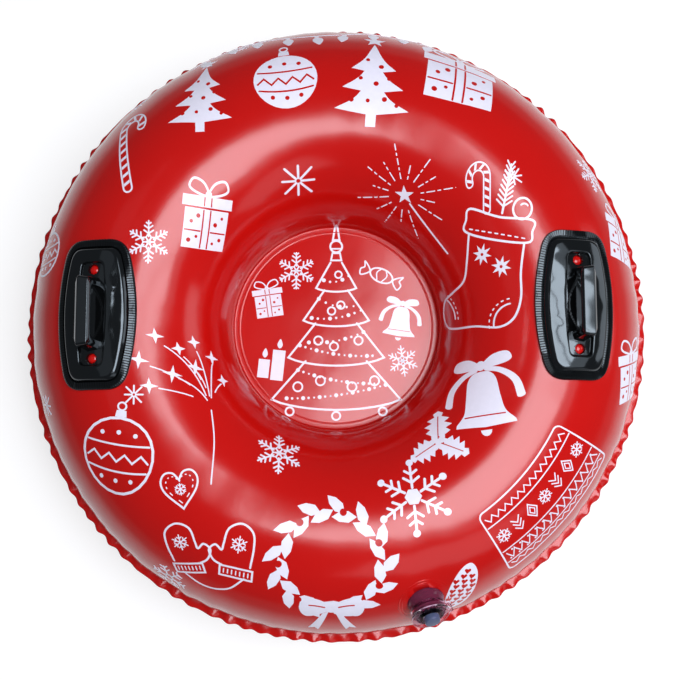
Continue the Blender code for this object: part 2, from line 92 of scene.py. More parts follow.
# The handles
HANDLE_LIFT = math.radians(78.0)
PLATE = (0.212, 0.118, 0.085, 0.024)  # length, width, end width, corner
WELL = (0.145, 0.038, 0.030, 0.008)
WELL_OFFSET = 0.002
RIM_TOP = 0.0036
DOME_FOOT = 0.0062
DOME_RISE = (0.0, 0.03, 0.07, 0.12, 0.18, 0.26, 0.36, 0.5, 0.64, 0.78, 0.9, 1.0)  # rows from rim to well
BAR_WIDTH = 0.0215
BAR_TOP = 0.043
BAR_THICKNESS = 0.009
PEEP_RADIUS = 0.0068
PEEP_OFFSET = 0.0625
OUTLINE_STEPS = 1440

# The valve
VALVE_AZIMUTH = math.radians(-72.5)
VALVE_LIFT = math.radians(41.6)
VALVE_SLOPE = math.radians(35.7)
NECK_FOOT_RADIUS = 0.0253
NECK_MOUTH_RADIUS = 0.0215
NECK_HEIGHT = 0.023
NECK_FLANGE_RADIUS = 0.0360
NECK_FOLLOWS = 0.0035  # height below which the neck takes on the sheet's round
THREAD_BORE = 0.0185
THREAD_PITCH = 0.003
LOWER_BORE = 0.0155
SHOULDER = 0.007
INSERT_BASE = 0.0086
INSERT_TOP = 0.0185
WEB_TOP = 0.0116
CAP_BASE = 0.0233
CAP_TOP = 0.0258
CAP_RADIUS = 0.0275
KNOB_RADIUS = 0.011
KNOB_TOP = 0.0348
TAB_END = 0.0297
TAB_WIDTH = 0.010
LEASH_BASE = 0.012
LEASH_TOP = 0.016
TURNED_STEPS = 128


def linear(colour):
    """An sRGB hex colour as linear values."""
    values = [int(colour[k : k + 2], 16) / 255 for k in (0, 2, 4)]
    return (*[v / 12.92 if v <= 0.04045 else ((v + 0.055) / 1.055) ** 2.4 for v in values], 1.0)


def length(name, description, default, most):
    """A length for the sidebar, in metres."""
    looks = {"min": 0.0, "precision": 5, "subtype": "DISTANCE", "unit": "LENGTH"}
    return bpy.props.FloatProperty(name=name, description=description, default=default, max=most, **looks)


def tint(name, description, default):
    """A colour for the sidebar, from its sRGB hex value."""
    looks = {"size": 4, "min": 0.0, "max": 1.0, "subtype": "COLOR"}
    return bpy.props.FloatVectorProperty(name=name, description=description, default=linear(default), **looks)


class TubeSizes(bpy.types.PropertyGroup):
    """Sizes that can change while every piece still fits the CAD."""

    seat_crown: length("Seat crown", "How far the air lifts the middle of the seat", 0.0025, 0.02)
    pleat_height: length("Pleat height", "How far the pleats beside the seam stand off", 0.0010, 0.004)
    ruffle_height: length("Ruffle height", "How far the seam's edge waves up and down", 0.0020, 0.006)
    ruffle_reach: length("Ruffle reach", "How far the seam's edge waves in and out", 0.0012, 0.004)
    rib_height: length("Rib height", "How far the ribs stand up on the handles' rims", 0.0013, 0.002)
    rib_count: bpy.props.IntProperty(
        name="Rib count", description="Ribs round the rim of one handle", default=160, min=20, max=240
    )
    dome_height: length("Dome height", "How high the handles' domes stand off the sheet", 0.010, 0.014)
    ink_height: length("Ink height", "How far the print stands off the sheet", 0.00022, 0.001)


class TubeColours(bpy.types.PropertyGroup):
    """Colours of the tube's finishes."""

    sheet: tint("Sheet", "Vinyl of the ring, the seat and the seam", "BE0D09")
    ink: tint("Ink", "Screen ink of the print", "EAE6F4")
    moulding: tint("Handles", "Soft vinyl of the two handles", "08090A")
    neck: tint("Valve neck", "Tinted vinyl of the valve's neck", "8C3556")
    clear: tint("Cap and leash", "Clear vinyl of the cap and its leash", "E6CFE0")
    # The knob's blue-grey is partly painted: a blue sheen that stands in for bluish light on the frosted
    # vinyl.
    knob: tint("Cap's knob", "Frosted vinyl of the cap's knob", "6E7AA0")
    insert: tint("Insert", "Hard plastic of the valve's insert", "0F1211")
    rubber: tint("Flap and gasket", "Rubber of the flap and the gasket", "1E1E20")


def sizes():
    """The sidebar's sizes."""
    return bpy.context.scene.tube_sizes


def colours():
    """The sidebar's colours."""
    return bpy.context.scene.tube_colours


# Meshes from arrays


def end_faces(columns, first, pole, last):
    """Closes a row of a grid: a fan to a pole, or strips across it where pole is None."""
    if pole is None:
        i, half = np.arange(1, columns // 2 - 1), columns // 2
        strips = np.stack([i, i + 1, columns - i - 1, columns - i], -1)
        faces = [first + strips, first + np.array([(0, 1, columns - 1), (half, half + 1, half - 1)])]
    else:
        i = np.arange(columns)
        faces = [np.stack([np.full(columns, pole), first + i, first + (i + 1) % columns], -1)]
    return [face[:, ::-1] for face in faces] if last else faces


def faces_out(points, faces):
    """The faces, turned over where the volume that they close comes out negative."""
    volume = 0.0
    for face in faces:
        first, *others = (points[face[:, k]] for k in range(face.shape[1]))
        for here, there in zip(others, others[1:]):
            volume += np.einsum("ij,ij->", first, np.cross(here, there))
    return faces if volume > 0 else [face[:, ::-1] for face in faces]


def solid(points, ends="fan"):
    """A closed surface that looks outwards, from rows of points that run round. Its ends are fans or strips,
    or with "loop" the last row joins the first."""
    rows, columns = points.shape[:2]
    down = np.arange(rows if ends == "loop" else rows - 1)[:, None]
    across = np.arange(columns)
    here, below, beside = down * columns, (down + 1) % rows * columns, (across + 1) % columns
    quads = np.stack([here + across, below + across, below + beside, here + beside], -1)
    faces = [quads.reshape(-1, 4)]
    flat = points.reshape(-1, 3)
    for row in () if ends == "loop" else (0, rows - 1):
        pole = len(flat) if ends == "fan" else None
        faces += end_faces(columns, row * columns, pole, row > 0)
        if pole:
            flat = np.vstack([flat, points[row].mean(0)])
    return flat, faces_out(flat, faces)


def put_mesh(name, parts, finish, body="tube", replaces=()):
    """One object from (points, faces) parts, smooth but for its sharp edges, riding on a CAD body."""
    firsts = np.cumsum([0] + [len(points) for points, _ in parts])
    faces = [face + first for (_, faces), first in zip(parts, firsts) for face in faces]
    counts = np.concatenate([np.full(len(face), face.shape[1]) for face in faces])
    mesh = bpy.data.meshes.new(name)
    mesh.vertices.add(int(firsts[-1]))
    mesh.vertices.foreach_set("co", np.vstack([points for points, _ in parts]).astype(np.float32).ravel())
    mesh.loops.add(int(counts.sum()))
    mesh.loops.foreach_set("vertex_index", np.concatenate([face.ravel() for face in faces]).astype(np.int32))
    mesh.polygons.add(len(counts))
    mesh.polygons.foreach_set("loop_start", (np.cumsum(counts) - counts).astype(np.int32))
    mesh.update(calc_edges=True)
    if mesh.validate():
        raise RuntimeError(f"{name} had broken faces")
    mesh.shade_smooth()
    mesh.set_sharp_from_angle(angle=math.radians(50))
    mesh.materials.append(finish_called(finish))
    obj = bpy.data.objects.new(name, mesh)
    bpy.context.scene.collection.objects.link(obj)
    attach(obj, body)
    if replaces:
        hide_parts(*replaces)
    return obj


# Lines and places


def around(steps):
    """Angles evenly round a circle, as one row."""
    return np.linspace(0, 2 * math.pi, steps, endpoint=False)[None, :]


def polar(radius, angle, height):
    """Points from their distance from the axis, their angle round it and their height."""
    return np.stack(np.broadcast_arrays(radius * np.cos(angle), radius * np.sin(angle), height), -1)


def bezier(start, corner, end, steps):
    """Points of the curve that leaves start and reaches end along the lines to their shared corner."""
    t = np.linspace(0, 1, steps)[:, None]
    return (1 - t) ** 2 * np.array(start) + 2 * t * (1 - t) * np.array(corner) + t**2 * np.array(end)


def rounded(corners, closed=False, steps=4):
    """A line through (x, y, rounding) corners, each cut by a short curve that starts that far from it."""
    points = [np.array(corner[:2]) for corner in corners]
    made = []
    for k, (point, (_, _, cut)) in enumerate(zip(points, corners)):
        if not cut or not closed and k in (0, len(corners) - 1):
            made.append(point[None])
            continue
        ways = [other - point for other in (points[k - 1], points[(k + 1) % len(points)])]
        ends = [point + way * cut / np.linalg.norm(way) for way in ways]
        made.append(bezier(ends[0], point, ends[1], steps))
    return np.vstack(made)


def run_of(path):
    """Distances of a line's points from its start."""
    return np.concatenate([[0], np.cumsum(np.hypot(*np.diff(path, axis=0).T))])


def at_run(at, run, path):
    """The places on a line at these distances from its start."""
    return np.stack([np.interp(at, run, path[:, k]) for k in range(2)], -1)


def mirrored(half, shared=1):
    """A line and its mirror image run backwards, less this many points that the two share."""
    return np.vstack([half, (half * (-1, 1))[::-1][shared:]])


def to_world(points, matrix):
    """Points given on a matrix's axes, in the frame's own."""
    return points @ matrix[:3, :3].T + matrix[:3, 3]


def to_local(points, matrix):
    """Points of the frame, given on a matrix's axes."""
    return (points - matrix[:3, 3]) @ matrix[:3, :3]


def turned_about(points, azimuth):
    """Points turned anticlockwise about Z."""
    c, s = math.cos(azimuth), math.sin(azimuth)
    return points @ np.array([[c, s, 0], [-s, c, 0], [0, 0, 1]])


def smooth_step(value):
    """Rises from 0 to 1 as the value does, and levels out at both."""
    value = np.clip(value, 0, 1)
    return value * value * (3 - 2 * value)


# The sheets


class Profile:
    """A sheet's outside along a line from the seat's middle out to the seam: flat, then round the fold, then
    along the ring's round section. Heights are from the seam's plane, which lies at the middle's height."""

    def __init__(self, thickness, middle, seed):
        self.thickness, self.middle, self.seed = thickness, middle, seed
        reach = math.sqrt((SECTION_RADIUS + FOLD) ** 2 - (FOLD + thickness) ** 2)
        fold_end = math.atan2(-(FOLD + thickness), reach)
        self.flat = TUBE_RADIUS - reach
        self.folded = self.flat + FOLD * (fold_end + math.pi / 2)
        self.start_lift = math.pi + fold_end
        self.length = self.folded + SECTION_RADIUS * self.start_lift

    def place(self, along):
        """Radius, height and the outward normal's two parts, at distances along the sheet."""
        turn = -math.pi / 2 + (along - self.flat) / FOLD
        lift = self.start_lift - (along - self.folded) / SECTION_RADIUS
        c, s = np.cos(turn), np.sin(turn)
        seat = along, self.thickness, 0.0, 1.0
        fold = self.flat + FOLD * c, self.thickness + FOLD + FOLD * s, -c, -s
        c, s = np.cos(lift), np.sin(lift)
        ring = TUBE_RADIUS + SECTION_RADIUS * c, SECTION_RADIUS * s, c, s
        cases = [along < self.flat, along < self.folded]
        return [np.select(cases, [first, second], last) for first, second, last in zip(seat, fold, ring)]


TOP = Profile(TOP_SHEET, TOP_MIDDLE, 0)
BOTTOM = Profile(BOTTOM_SHEET, FLOOR_TO_MIDDLE, 20)

# Numbers of waves round the tube, which add up to an uneven ripple
RUFFLES = (94, 103, 112, 122, 133)
PLEATS = (58, 67, 73, 82, 91)
SWELLS = (19, 27, 34, 41)
SHIFTS = (2, 3, 5)

# What stands off the sheet: its height, and over what distance it dies away
CRIMP, CRIMP_REACH = 0.0011, 0.011
PLEAT_REACH = 0.038
SWELL, SWELL_REACH = 0.0007, 0.110
WALL_RING, WALL_RING_REACH, WALL_RING_SPACING = 0.00016, 0.085, 0.031
WELD_RIDGE, WELD_RIDGE_HALF_WIDTH = 0.0005, 0.0008
WRINKLE = 0.00009


def waves(angle, counts, seed):
    """An uneven ripple round the tube: a sum of sines with these numbers of waves and drawn phases."""
    phases = np.random.default_rng(seed).uniform(0, 2 * math.pi, len(counts))
    total = sum(np.sin(count * angle + phase) for count, phase in zip(counts, phases))
    return total / math.sqrt(len(counts) / 2) / 1.6


def relief(angle, along, profile):
    """How far a sheet stands off its true round: pleats that die away from the seam, slow rings on the
    inside wall, the ridge of the seat's weld, faint wrinkles across the seat and its crown."""
    from_seam, seed = profile.length - along, profile.seed
    total = CRIMP * np.exp(-from_seam / CRIMP_REACH) * waves(angle, RUFFLES, 5)
    total = total + sizes().pleat_height * np.exp(-from_seam / PLEAT_REACH) * waves(angle, PLEATS, 6 + seed)
    total = total + SWELL * np.exp(-from_seam / SWELL_REACH) * waves(angle, SWELLS, 8 + seed)
    wall = along - profile.folded
    rings = np.sin(wall * 2 * math.pi / WALL_RING_SPACING + 1.3 * waves(angle, SHIFTS, 12))
    total = total + WALL_RING * rings * np.exp(-np.abs(wall) / WALL_RING_REACH) * np.clip(wall / 0.012, 0, 1)
    total = total + WELD_RIDGE * np.exp(-(((along - WELD_LINE) / WELD_RIDGE_HALF_WIDTH) ** 2))
    x, y = along * np.cos(angle), along * np.sin(angle)
    slack = np.sin(71 * x + 40 * y + 0.7) + np.sin(-38 * x + 83 * y + 2.1)
    slack = slack + np.sin(118 * x - 61 * y + 4.0) / 2
    on_seat = np.clip(1 - (along / (WELD_LINE - 0.004)) ** 6, 0, 1)
    crown = sizes().seat_crown * np.clip(1 - (along / WELD_LINE) ** 2, 0, 1)
    return total + on_seat * WRINKLE * (slack + 2.5) + crown


def on_sheet(profile, angle, along, above):
    """The place this far outside a sheet, round the tube and along the sheet from the seat's middle. The
    bottom sheet is the same profile turned down, and the ground presses it flat."""
    radius, height, outward, upward = profile.place(along)
    off = above + relief(angle, along, profile)
    height = height + upward * off
    if profile is BOTTOM:
        height = -np.minimum(height, FLOOR_TO_MIDDLE + np.minimum(above, 0))
    return polar(radius + outward * off, angle, profile.middle + height)


def sheet_rows(profile):
    """Where a sheet's rows lie: the outside from the middle to the seam, then a few on its inside, with more
    of them where the valve's hole goes through the top sheet."""
    weld = WELD_LINE + np.array([-2.4, -1.5, -0.9, -0.45, 0.0, 0.45, 0.9, 1.5, 2.4]) / 1000
    fold = np.linspace(profile.flat, profile.folded, 6)
    near_seam = profile.length - np.geomspace(0.06, 0.0015, 18)
    ring = np.linspace(profile.folded + 0.003, near_seam[0] - 0.008, 38)
    seat = np.linspace(INNERMOST_ROW, WELD_LINE - 0.006, 11)
    hole = profile.length - np.arange(0.070, 0.150, 0.006) if profile is TOP else []
    wall = np.linspace(profile.length - 0.18, profile.folded, 5)
    inside = [profile.length, profile.length - 0.03, *hole, *wall, profile.flat, INNERMOST_ROW]
    return np.concatenate([seat, weld, fold, ring, near_seam, [profile.length]]), np.array(inside)


def sheet_solid(profile, steps):
    """A sheet closed round its own thickness."""
    outside, inside = sheet_rows(profile)
    above = np.repeat([0.0, -profile.thickness], [len(outside), len(inside)])
    along = np.concatenate([outside, inside])
    return solid(on_sheet(profile, around(steps), along[:, None], above[:, None]))


def make_top_skin():
    """The printed sheet, with the valve's hole cut through both faces: the quads inside it go, and the points
    at its edge move out to its circle."""
    points, (quads, *ends) = sheet_solid(TOP, 900)
    matrix = valve_matrix()
    local = to_local(points, matrix)
    reach, hole = np.hypot(local[:, 0], local[:, 1]), NECK_FOOT_RADIUS + FIT
    near = (np.abs(local[:, 2]) < NECK_HEIGHT) & (reach < hole)
    faces = [quads[~near[quads].all(1)], *ends]
    edge = np.intersect1d(faces[0], np.flatnonzero(near))
    local[edge, :2] *= (hole / reach[edge])[:, None]
    points[edge] = to_world(local[edge], matrix)
    used = np.zeros(len(points), bool)
    for face in faces:
        used[face] = True
    index = np.cumsum(used) - 1
    parts = [(points[used], [index[face] for face in faces])]
    bridge_hole(put_mesh("top_skin", parts, RED, replaces=("top_sheet",)))


def bridge_hole(obj):
    """Joins the hole's edge on the sheet's outside to its edge on the inside."""
    bm = bmesh.new()
    bm.from_mesh(obj.data)
    rim = [edge for edge in bm.edges if edge.is_boundary]
    if not rim:
        raise RuntimeError("the valve's hole is missing")
    bmesh.ops.bridge_loops(bm, edges=rim)
    bmesh.ops.recalc_face_normals(bm, faces=bm.faces)
    if any(edge.is_boundary for edge in bm.edges):
        raise RuntimeError("the valve's hole isn't closed")
    bm.to_mesh(obj.data)
    bm.free()


def make_bottom_skin():
    """The sheet underneath."""
    put_mesh("bottom_skin", [sheet_solid(BOTTOM, 720)], RED, replaces=("bottom_sheet",))


def make_flange():
    """The welded seam: a band whose outer edge waves up and down and in and out, thin and round at the tip.
    The waves grow from nothing at the ring to their full height at the edge, and the edge hangs lower at the
    back than at the front."""
    angle = around(1800)
    share = np.array([0.0, 0.25, 0.45, 0.62, 0.78, 0.9, 0.97, 1.0])[:, None]
    half_thickness = 0.0009 * np.array([1.0, 1.0, 1.0, 0.95, 0.9, 0.8, 0.6, 0.25])[:, None]
    up, out = waves(angle, RUFFLES, 5), waves(angle, RUFFLES, 31)
    root, least_droop, more_droop = EQUATOR - 0.0018, 0.0014, 0.0044
    from_back = angle - math.radians(108)
    droop = least_droop + more_droop * np.clip(np.cos(from_back * 0.9), 0, 1) ** 1.5
    droop = np.where(np.abs(from_back) < math.radians(100), droop, least_droop)
    radius = root + (SEAM_EDGE - root) * share + sizes().ruffle_reach * share * (out + up / 2)
    height = TOP_MIDDLE - FIT / 2 + sizes().ruffle_height * share**1.3 * up - droop * share**2
    upper, lower = (polar(radius, angle, height + side * half_thickness) for side in (1, -1))
    put_mesh("seam_flange", [solid(np.vstack([upper, lower[::-1]]), "loop")], RED)


# The handles


def barrel(length, width, end_width, corner):
    """A rectangle with bowed long sides and round corners, as evenly spaced (along, across) points."""
    half, bow = length / 2, (width - end_width) / 2
    along = np.linspace(half - corner, 0, 60)
    side = np.stack([along, width / 2 - bow * (along / half) ** 2], -1)
    bend = bezier((half, end_width / 2 - corner), (half, end_width / 2), side[0], 40)
    upper = mirrored(np.vstack([[(half, 0.0)], bend, side[1:]]))
    path = np.vstack([upper, (upper * (1, -1))[-2::-1]])
    run = run_of(path)
    return at_run(np.linspace(0, run[-1], OUTLINE_STEPS, endpoint=False), run, path)


def drawn_in(outline, inset):
    """The outline moved inwards by a distance, square to itself."""
    run = np.roll(outline, -1, 0) - np.roll(outline, 1, 0)
    run /= np.linalg.norm(run, axis=1, keepdims=True)
    inward = np.stack([-run[:, 1], run[:, 0]], -1)
    inward *= -np.sign(np.einsum("ij,ij->", inward, outline))
    return outline + inward * inset


def on_ring(along, across, above):
    """Bends a flat handle round the ring, at azimuth 0: along it, across it outwards, and above the sheet."""
    plan = TUBE_RADIUS + SECTION_RADIUS * np.cos(HANDLE_LIFT - across / SECTION_RADIUS)
    reach = np.hypot(plan, along)
    outward = (reach - TUBE_RADIUS) / SECTION_RADIUS
    upward = np.sqrt(np.maximum(0.0, 1 - outward**2))
    radius = TUBE_RADIUS + (SECTION_RADIUS + above) * outward
    height = TOP_MIDDLE + (SECTION_RADIUS + above) * upward
    return np.stack([radius * plan / reach, radius * along / reach, height], -1)


def handle_matrix(shift, azimuth):
    """The axes at the middle of a handle's well: X outwards across it, Y along it, Z off the sheet."""
    foot = Vector(on_ring(shift, WELL_OFFSET, 0.0))
    off = (Vector(on_ring(shift, WELL_OFFSET, SECTION_RADIUS)) - foot).normalized()
    along = Vector((0.0, 1.0, 0.0))
    along = (along - off * along.dot(off)).normalized()
    turn = Matrix((along.cross(off), along, off)).transposed().to_4x4()
    return np.array(Matrix.Rotation(azimuth, 4, "Z") @ Matrix.Translation(foot) @ turn)


def well_floor(flat):
    """Height of the well's floor: a ledge with a peep hole at each end and a lens-shaped pocket between."""
    along, across = flat[..., 0], flat[..., 1]
    lens = 0.0150 * (1 - (along / 0.0375) ** 2) - np.abs(across)
    height = 0.0052 - 0.0030 * smooth_step(lens / 0.0022)
    hole = np.hypot(np.abs(along) - PEEP_OFFSET, across)
    return height - 0.0062 * smooth_step((PEEP_RADIUS + 0.0004 - hole) / 0.0010)


def make_handle(name, azimuth, shift, lean):
    """One moulding: a ribbed rim, a step, a glossy dome, and a well with its ledges and pocket. Rings of the
    plate's outline are drawn in and lifted to make each row. The ribs are a wave along the outline with flat
    tops and narrow dips between, and the soft rim leans in by this slope."""
    outline, well = barrel(*PLATE), barrel(*WELL) + (0.0, WELL_OFFSET)
    phase = sizes().rib_count * np.arange(OUTLINE_STEPS) / OUTLINE_STEPS % 1
    ribs = sizes().rib_height * np.clip(4.8 * np.minimum(phase, 1 - phase), 0, 1)
    # The rim: how far in from the plate's edge, how high, and the share of the ribs
    rim = [(0.0010, -0.0008, 0.0), (0.0000, 0.0004, 0.0), (0.0000, 0.0018, 0.2), (0.0004, 0.0030, 0.7)]
    rim += [(inset, RIM_TOP - (inset - 0.0014) * lean, 1.0) for inset in (0.0014, 0.0045, 0.0078, 0.0108)]
    rim += [(0.0117, 0.0018, 0.2), (0.0120, 0.0026, 0.0), (0.0124, 0.0046, 0.0), (0.0130, 0.0056, 0.0)]
    rows = [(drawn_in(outline, inset), height + ribbed * ribs) for inset, height, ribbed in rim]
    shoulder, lip = drawn_in(outline, 0.0136), drawn_in(well, -0.0014)
    for share in DOME_RISE:
        rise = 0.86 * math.sin(math.pi / 2 * min(1.0, share / 0.2)) + 0.14 * math.sin(math.pi / 2 * share)
        height = DOME_FOOT + (sizes().dome_height - DOME_FOOT) * rise
        rows.append((shoulder * (1 - share) + lip * share, height))
    wall = (-0.0006, 0.0097), (-0.0001, 0.0089), (0.0003, 0.0075), (0.0008, 0.0062)
    rows += [(drawn_in(well, inset), height) for inset, height in wall]
    foot = drawn_in(well, 0.0014)
    middle = np.stack([np.clip(foot[:, 0], -0.060, 0.060), np.full(OUTLINE_STEPS, WELL_OFFSET)], -1)
    for share in np.linspace(1, 0.03, 13):
        flat = middle + (foot - middle) * share
        rows.append((flat, well_floor(flat - (0.0, WELL_OFFSET))))
    points = np.stack([on_ring(flat[:, 0] + shift, flat[:, 1], height) for flat, height in rows])
    put_mesh(f"{name}_moulding", [solid(turned_about(points, azimuth), "strip")], MOULDED, replaces=(name,))
    put_mesh(f"{name}_grip", [grip(handle_matrix(shift, azimuth))], GRIP, replaces=(name,))
    put_mesh(f"{name}_peeps", [peep_bulge(shift, azimuth, side) for side in (-1, 1)], RED)


def peep_bulge(shift, azimuth, side):
    """The tube's skin pressed up through a hole in the well: a low dome."""
    share = np.array([1.0, 0.97, 0.9, 0.8, 0.65, 0.5, 0.35, 0.2, 0.1])[:, None]
    dome = polar((PEEP_RADIUS + 0.0002) * share, around(64), -0.0006 + 0.0042 * np.sqrt(1 - share**2 * 0.96))
    along, across = shift + side * PEEP_OFFSET + dome[..., 0], WELL_OFFSET + dome[..., 1]
    return solid(turned_about(on_ring(along, across, dome[..., 2]), azimuth))


def grip(matrix):
    """The bar: a faceted section swept up a post, round a shoulder, along and down again, between an inner
    and an outer line drawn from the side."""
    post, bend = np.linspace(0, 1, 8)[:-1], np.linspace(math.pi, math.pi / 2, 10)
    run = np.linspace(0, 1, 9)[1:, None]
    lines = []
    for foot, rise, knee, radius, top in (
        (-0.0375 + 0 * post, 0.0230, (-0.0285, 0.0250), 0.0090, BAR_TOP - BAR_THICKNESS),
        (-0.0530 + 0.0045 * post**0.6, 0.0370, (-0.0445, 0.0390), 0.0040, BAR_TOP),
    ):
        turn = knee + radius * np.stack([np.cos(bend), np.sin(bend)], -1)
        half = np.vstack([np.stack([foot, 0.0020 + rise * post], -1), turn])
        lines.append(mirrored(np.vstack([half, half[-1] * (1 - run) + np.array([0.0, top]) * run])))
    half = BAR_WIDTH / 2
    # Across the bar, the share of the way from the inner to the outer line, and the rounding
    corners = [(-half, 0.0, 0.0016), (-half, 0.46, 0.0008), (-half + 0.0024, 0.87, 0.0009)]
    corners += [(half - 0.0046, 1.04, 0.0009), (half, 0.50, 0.0008), (half, 0.0, 0.0016)]
    section = rounded([(x, share * BAR_THICKNESS, cut) for x, share, cut in corners], True, 5)
    share = section[:, 1:] / BAR_THICKNESS
    side = lines[0][:, None] * (1 - share) + lines[1][:, None] * share
    across = np.broadcast_to(section[:, :1], (*side.shape[:2], 1))
    return solid(to_world(np.concatenate([across, side], -1), matrix))


# The valve: its profiles are (distance from the axis, height, rounding)


def valve_matrix():
    """The valve's axes at its foot: Z out along it, X round the ring."""
    c, s = math.cos(VALVE_AZIMUTH), math.sin(VALVE_AZIMUTH)
    radius = TUBE_RADIUS + SECTION_RADIUS * math.cos(VALVE_LIFT)
    round_ring = np.array([-s, c, 0.0])
    axis = np.array([math.cos(VALVE_SLOPE) * c, math.cos(VALVE_SLOPE) * s, math.sin(VALVE_SLOPE)])
    matrix = np.eye(4)
    matrix[:3, :3] = np.stack([round_ring, np.cross(axis, round_ring), axis], -1)
    matrix[:3, 3] = radius * c, radius * s, TOP_MIDDLE + SECTION_RADIUS * math.sin(VALVE_LIFT)
    return matrix


def sheet_depth(local, matrix):
    """How far along the valve's axis the sheet's round lies, at places beside the axis."""
    height = np.zeros(local.shape[:-1])
    for _ in range(10):
        point = to_world(np.stack([local[..., 0], local[..., 1], height], -1), matrix)
        reach = np.hypot(point[..., 0], point[..., 1])
        height = height - (np.hypot(reach - TUBE_RADIUS, point[..., 2] - TOP_MIDDLE) - SECTION_RADIUS)
    return height


def turn_profile(profile):
    """Rows of (radius, height) carried round the axis."""
    return polar(profile[:, :1], around(TURNED_STEPS), profile[:, 1:2])


def turned(corners, matrix, closed=False):
    """A solid turned from its profile about the valve's axis."""
    return solid(to_world(turn_profile(rounded(corners, closed)), matrix), "loop" if closed else "fan")


def band(inner, outer, low, high, rounding, matrix):
    """A ring whose section is a rectangle with rounded corners."""
    corners = (outer, high), (outer, low), (inner, low), (inner, high)
    return turned([(*corner, rounding) for corner in corners], matrix, closed=True)


def make_neck(matrix):
    """The clear neck: a tapering wall, a rolled mouth, faint thread rings in the bore, and its weld flange
    under the sheet, which follows the ring."""
    corners = [
        (THREAD_BORE, NECK_HEIGHT, 0.0006),
        (NECK_MOUTH_RADIUS, NECK_HEIGHT, 0.0009),
        (NECK_FOOT_RADIUS - 0.0006, 0.0040, 0.0020),
        (NECK_FOOT_RADIUS + 0.0016, 0.0006, 0.0012),
        (NECK_FOOT_RADIUS, -0.0012, 0.0),
        (NECK_FLANGE_RADIUS, -0.0012, 0.0004),
        (NECK_FLANGE_RADIUS, -0.0027, 0.0004),
        (LOWER_BORE, -0.0027, 0.0004),
        (LOWER_BORE, SHOULDER, 0.0003),
    ]
    height = np.linspace(SHOULDER + 0.0008, 0.0222, 40)
    rings = np.stack([THREAD_BORE + 0.00025 * (1 - np.cos(2 * math.pi * height / THREAD_PITCH)), height], -1)
    local = turn_profile(np.vstack([rounded(corners), [(THREAD_BORE, SHOULDER)], rings]))
    local[..., 2] += sheet_depth(local, matrix) * smooth_step(1 - local[..., 2] / NECK_FOLLOWS)
    put_mesh("valve_neck", [solid(to_world(local, matrix), "loop")], TINTED, replaces=("valve_body",))


def make_weld_rings(matrix):
    """Two low rings pressed into the sheet round the valve's foot, by the weld of its flange. Their height
    falls to nothing on the side where the print comes close."""
    turn, arch = around(240), np.linspace(-1, 1, 9)[:, None]
    shown = smooth_step((0.40 - np.cos(turn)) / 0.40) * np.cos(arch * math.pi / 2)
    parts = []
    for radius, half_width, height in ((0.0345, 0.0011, 0.0006), (0.0385, 0.0013, 0.0007)):
        flat = polar(radius + half_width * arch, turn, 0.0)
        base = sheet_depth(flat, matrix)[..., None] * (0, 0, 1) + flat
        top = base + (height * shown - 0.0001)[..., None] * (0, 0, 1)
        parts.append(solid(to_world(np.vstack([top, (base - (0, 0, 0.0004))[::-1]]), matrix), "loop"))
    put_mesh("valve_weld_rings", parts, RED)


def make_insert(matrix):
    """The screw-in insert: a cup with a thread outside and six air holes through its web, each of them in
    its own sector of the web."""
    outer, inner, ring, hole, hub = 0.0177, 0.0145, 0.0082, 0.0028, 0.0022
    angle = around(TURNED_STEPS)
    height = np.linspace(INSERT_TOP - 0.0010, INSERT_BASE + 0.0010, 34)[:, None]
    thread = np.cos(2 * math.pi * height / THREAD_PITCH - angle)
    side = polar(0.01780 + 0.00038 * thread, angle, height)
    below = turn_profile(np.array([(outer, INSERT_BASE), (inner, INSERT_BASE)]))
    lip = [(inner, WEB_TOP, 0.0), (inner, INSERT_TOP, 0.0008), (outer, INSERT_TOP, 0.0008)]
    above = turn_profile(rounded([*lip, (outer, INSERT_TOP - 0.0012, 0.0)]))
    parts = [solid(to_world(np.vstack([side, below, above]), matrix), "loop")]
    # From the hole's middle, each ray ends at the wall, at the hub or at a side of the sector
    ray, centre, far = polar(1.0, around(96), 0.0)[0, :, :2], np.array([ring, 0.0]), 9.0
    along = ray @ centre
    inside = along**2 - ring**2 + hub**2
    limits = [-along + np.sqrt(along**2 - ring**2 + (inner + 0.0004) ** 2)]
    limits.append(np.where((inside > 0) & (along < 0), -along - np.sqrt(np.maximum(inside, 0)), far))
    for sign in (-1, 1):
        normal = np.array([-0.5, sign * math.cos(math.pi / 6)])
        toward = ray @ normal
        limits.append(np.where(toward > 1e-6, -(centre @ normal) / np.maximum(toward, 1e-6), far))
    reach = np.min(limits, 0)[:, None]
    levels = (reach, WEB_TOP), (reach, INSERT_BASE), (hole, INSERT_BASE), (hole, WEB_TOP - 0.0004)
    sector = [
        np.column_stack([centre + ray * distance, np.full(len(ray), level)])
        for distance, level in ((hole + 0.0004, WEB_TOP), *levels)
    ]
    for k in range(6):
        parts.append(solid(to_world(turned_about(np.stack(sector), k * math.pi / 3), matrix), "loop"))
    put_mesh("valve_insert_cup", parts, HARD, "insert", ("valve_insert",))


def make_flap(matrix):
    """The one-way flap: a thin disc under the web, with a stem through it and a head on top."""
    seat = INSERT_BASE - FIT
    corners = [
        (0.0005, WEB_TOP + 0.0045, 0.0),
        (0.0032, WEB_TOP + 0.0042, 0.0006),
        (0.0032, WEB_TOP + 0.0033, 0.0003),
        (0.0018, WEB_TOP + 0.0033, 0.0003),
        (0.0018, seat, 0.0004),
        (0.0130, seat, 0.0002),
        (0.0130, seat - 0.0010, 0.0005),
        (0.0005, seat - 0.0014, 0.0),
    ]
    put_mesh("valve_flap_disc", [turned(corners, matrix)], RUBBER, "flap", ("valve_flap",))


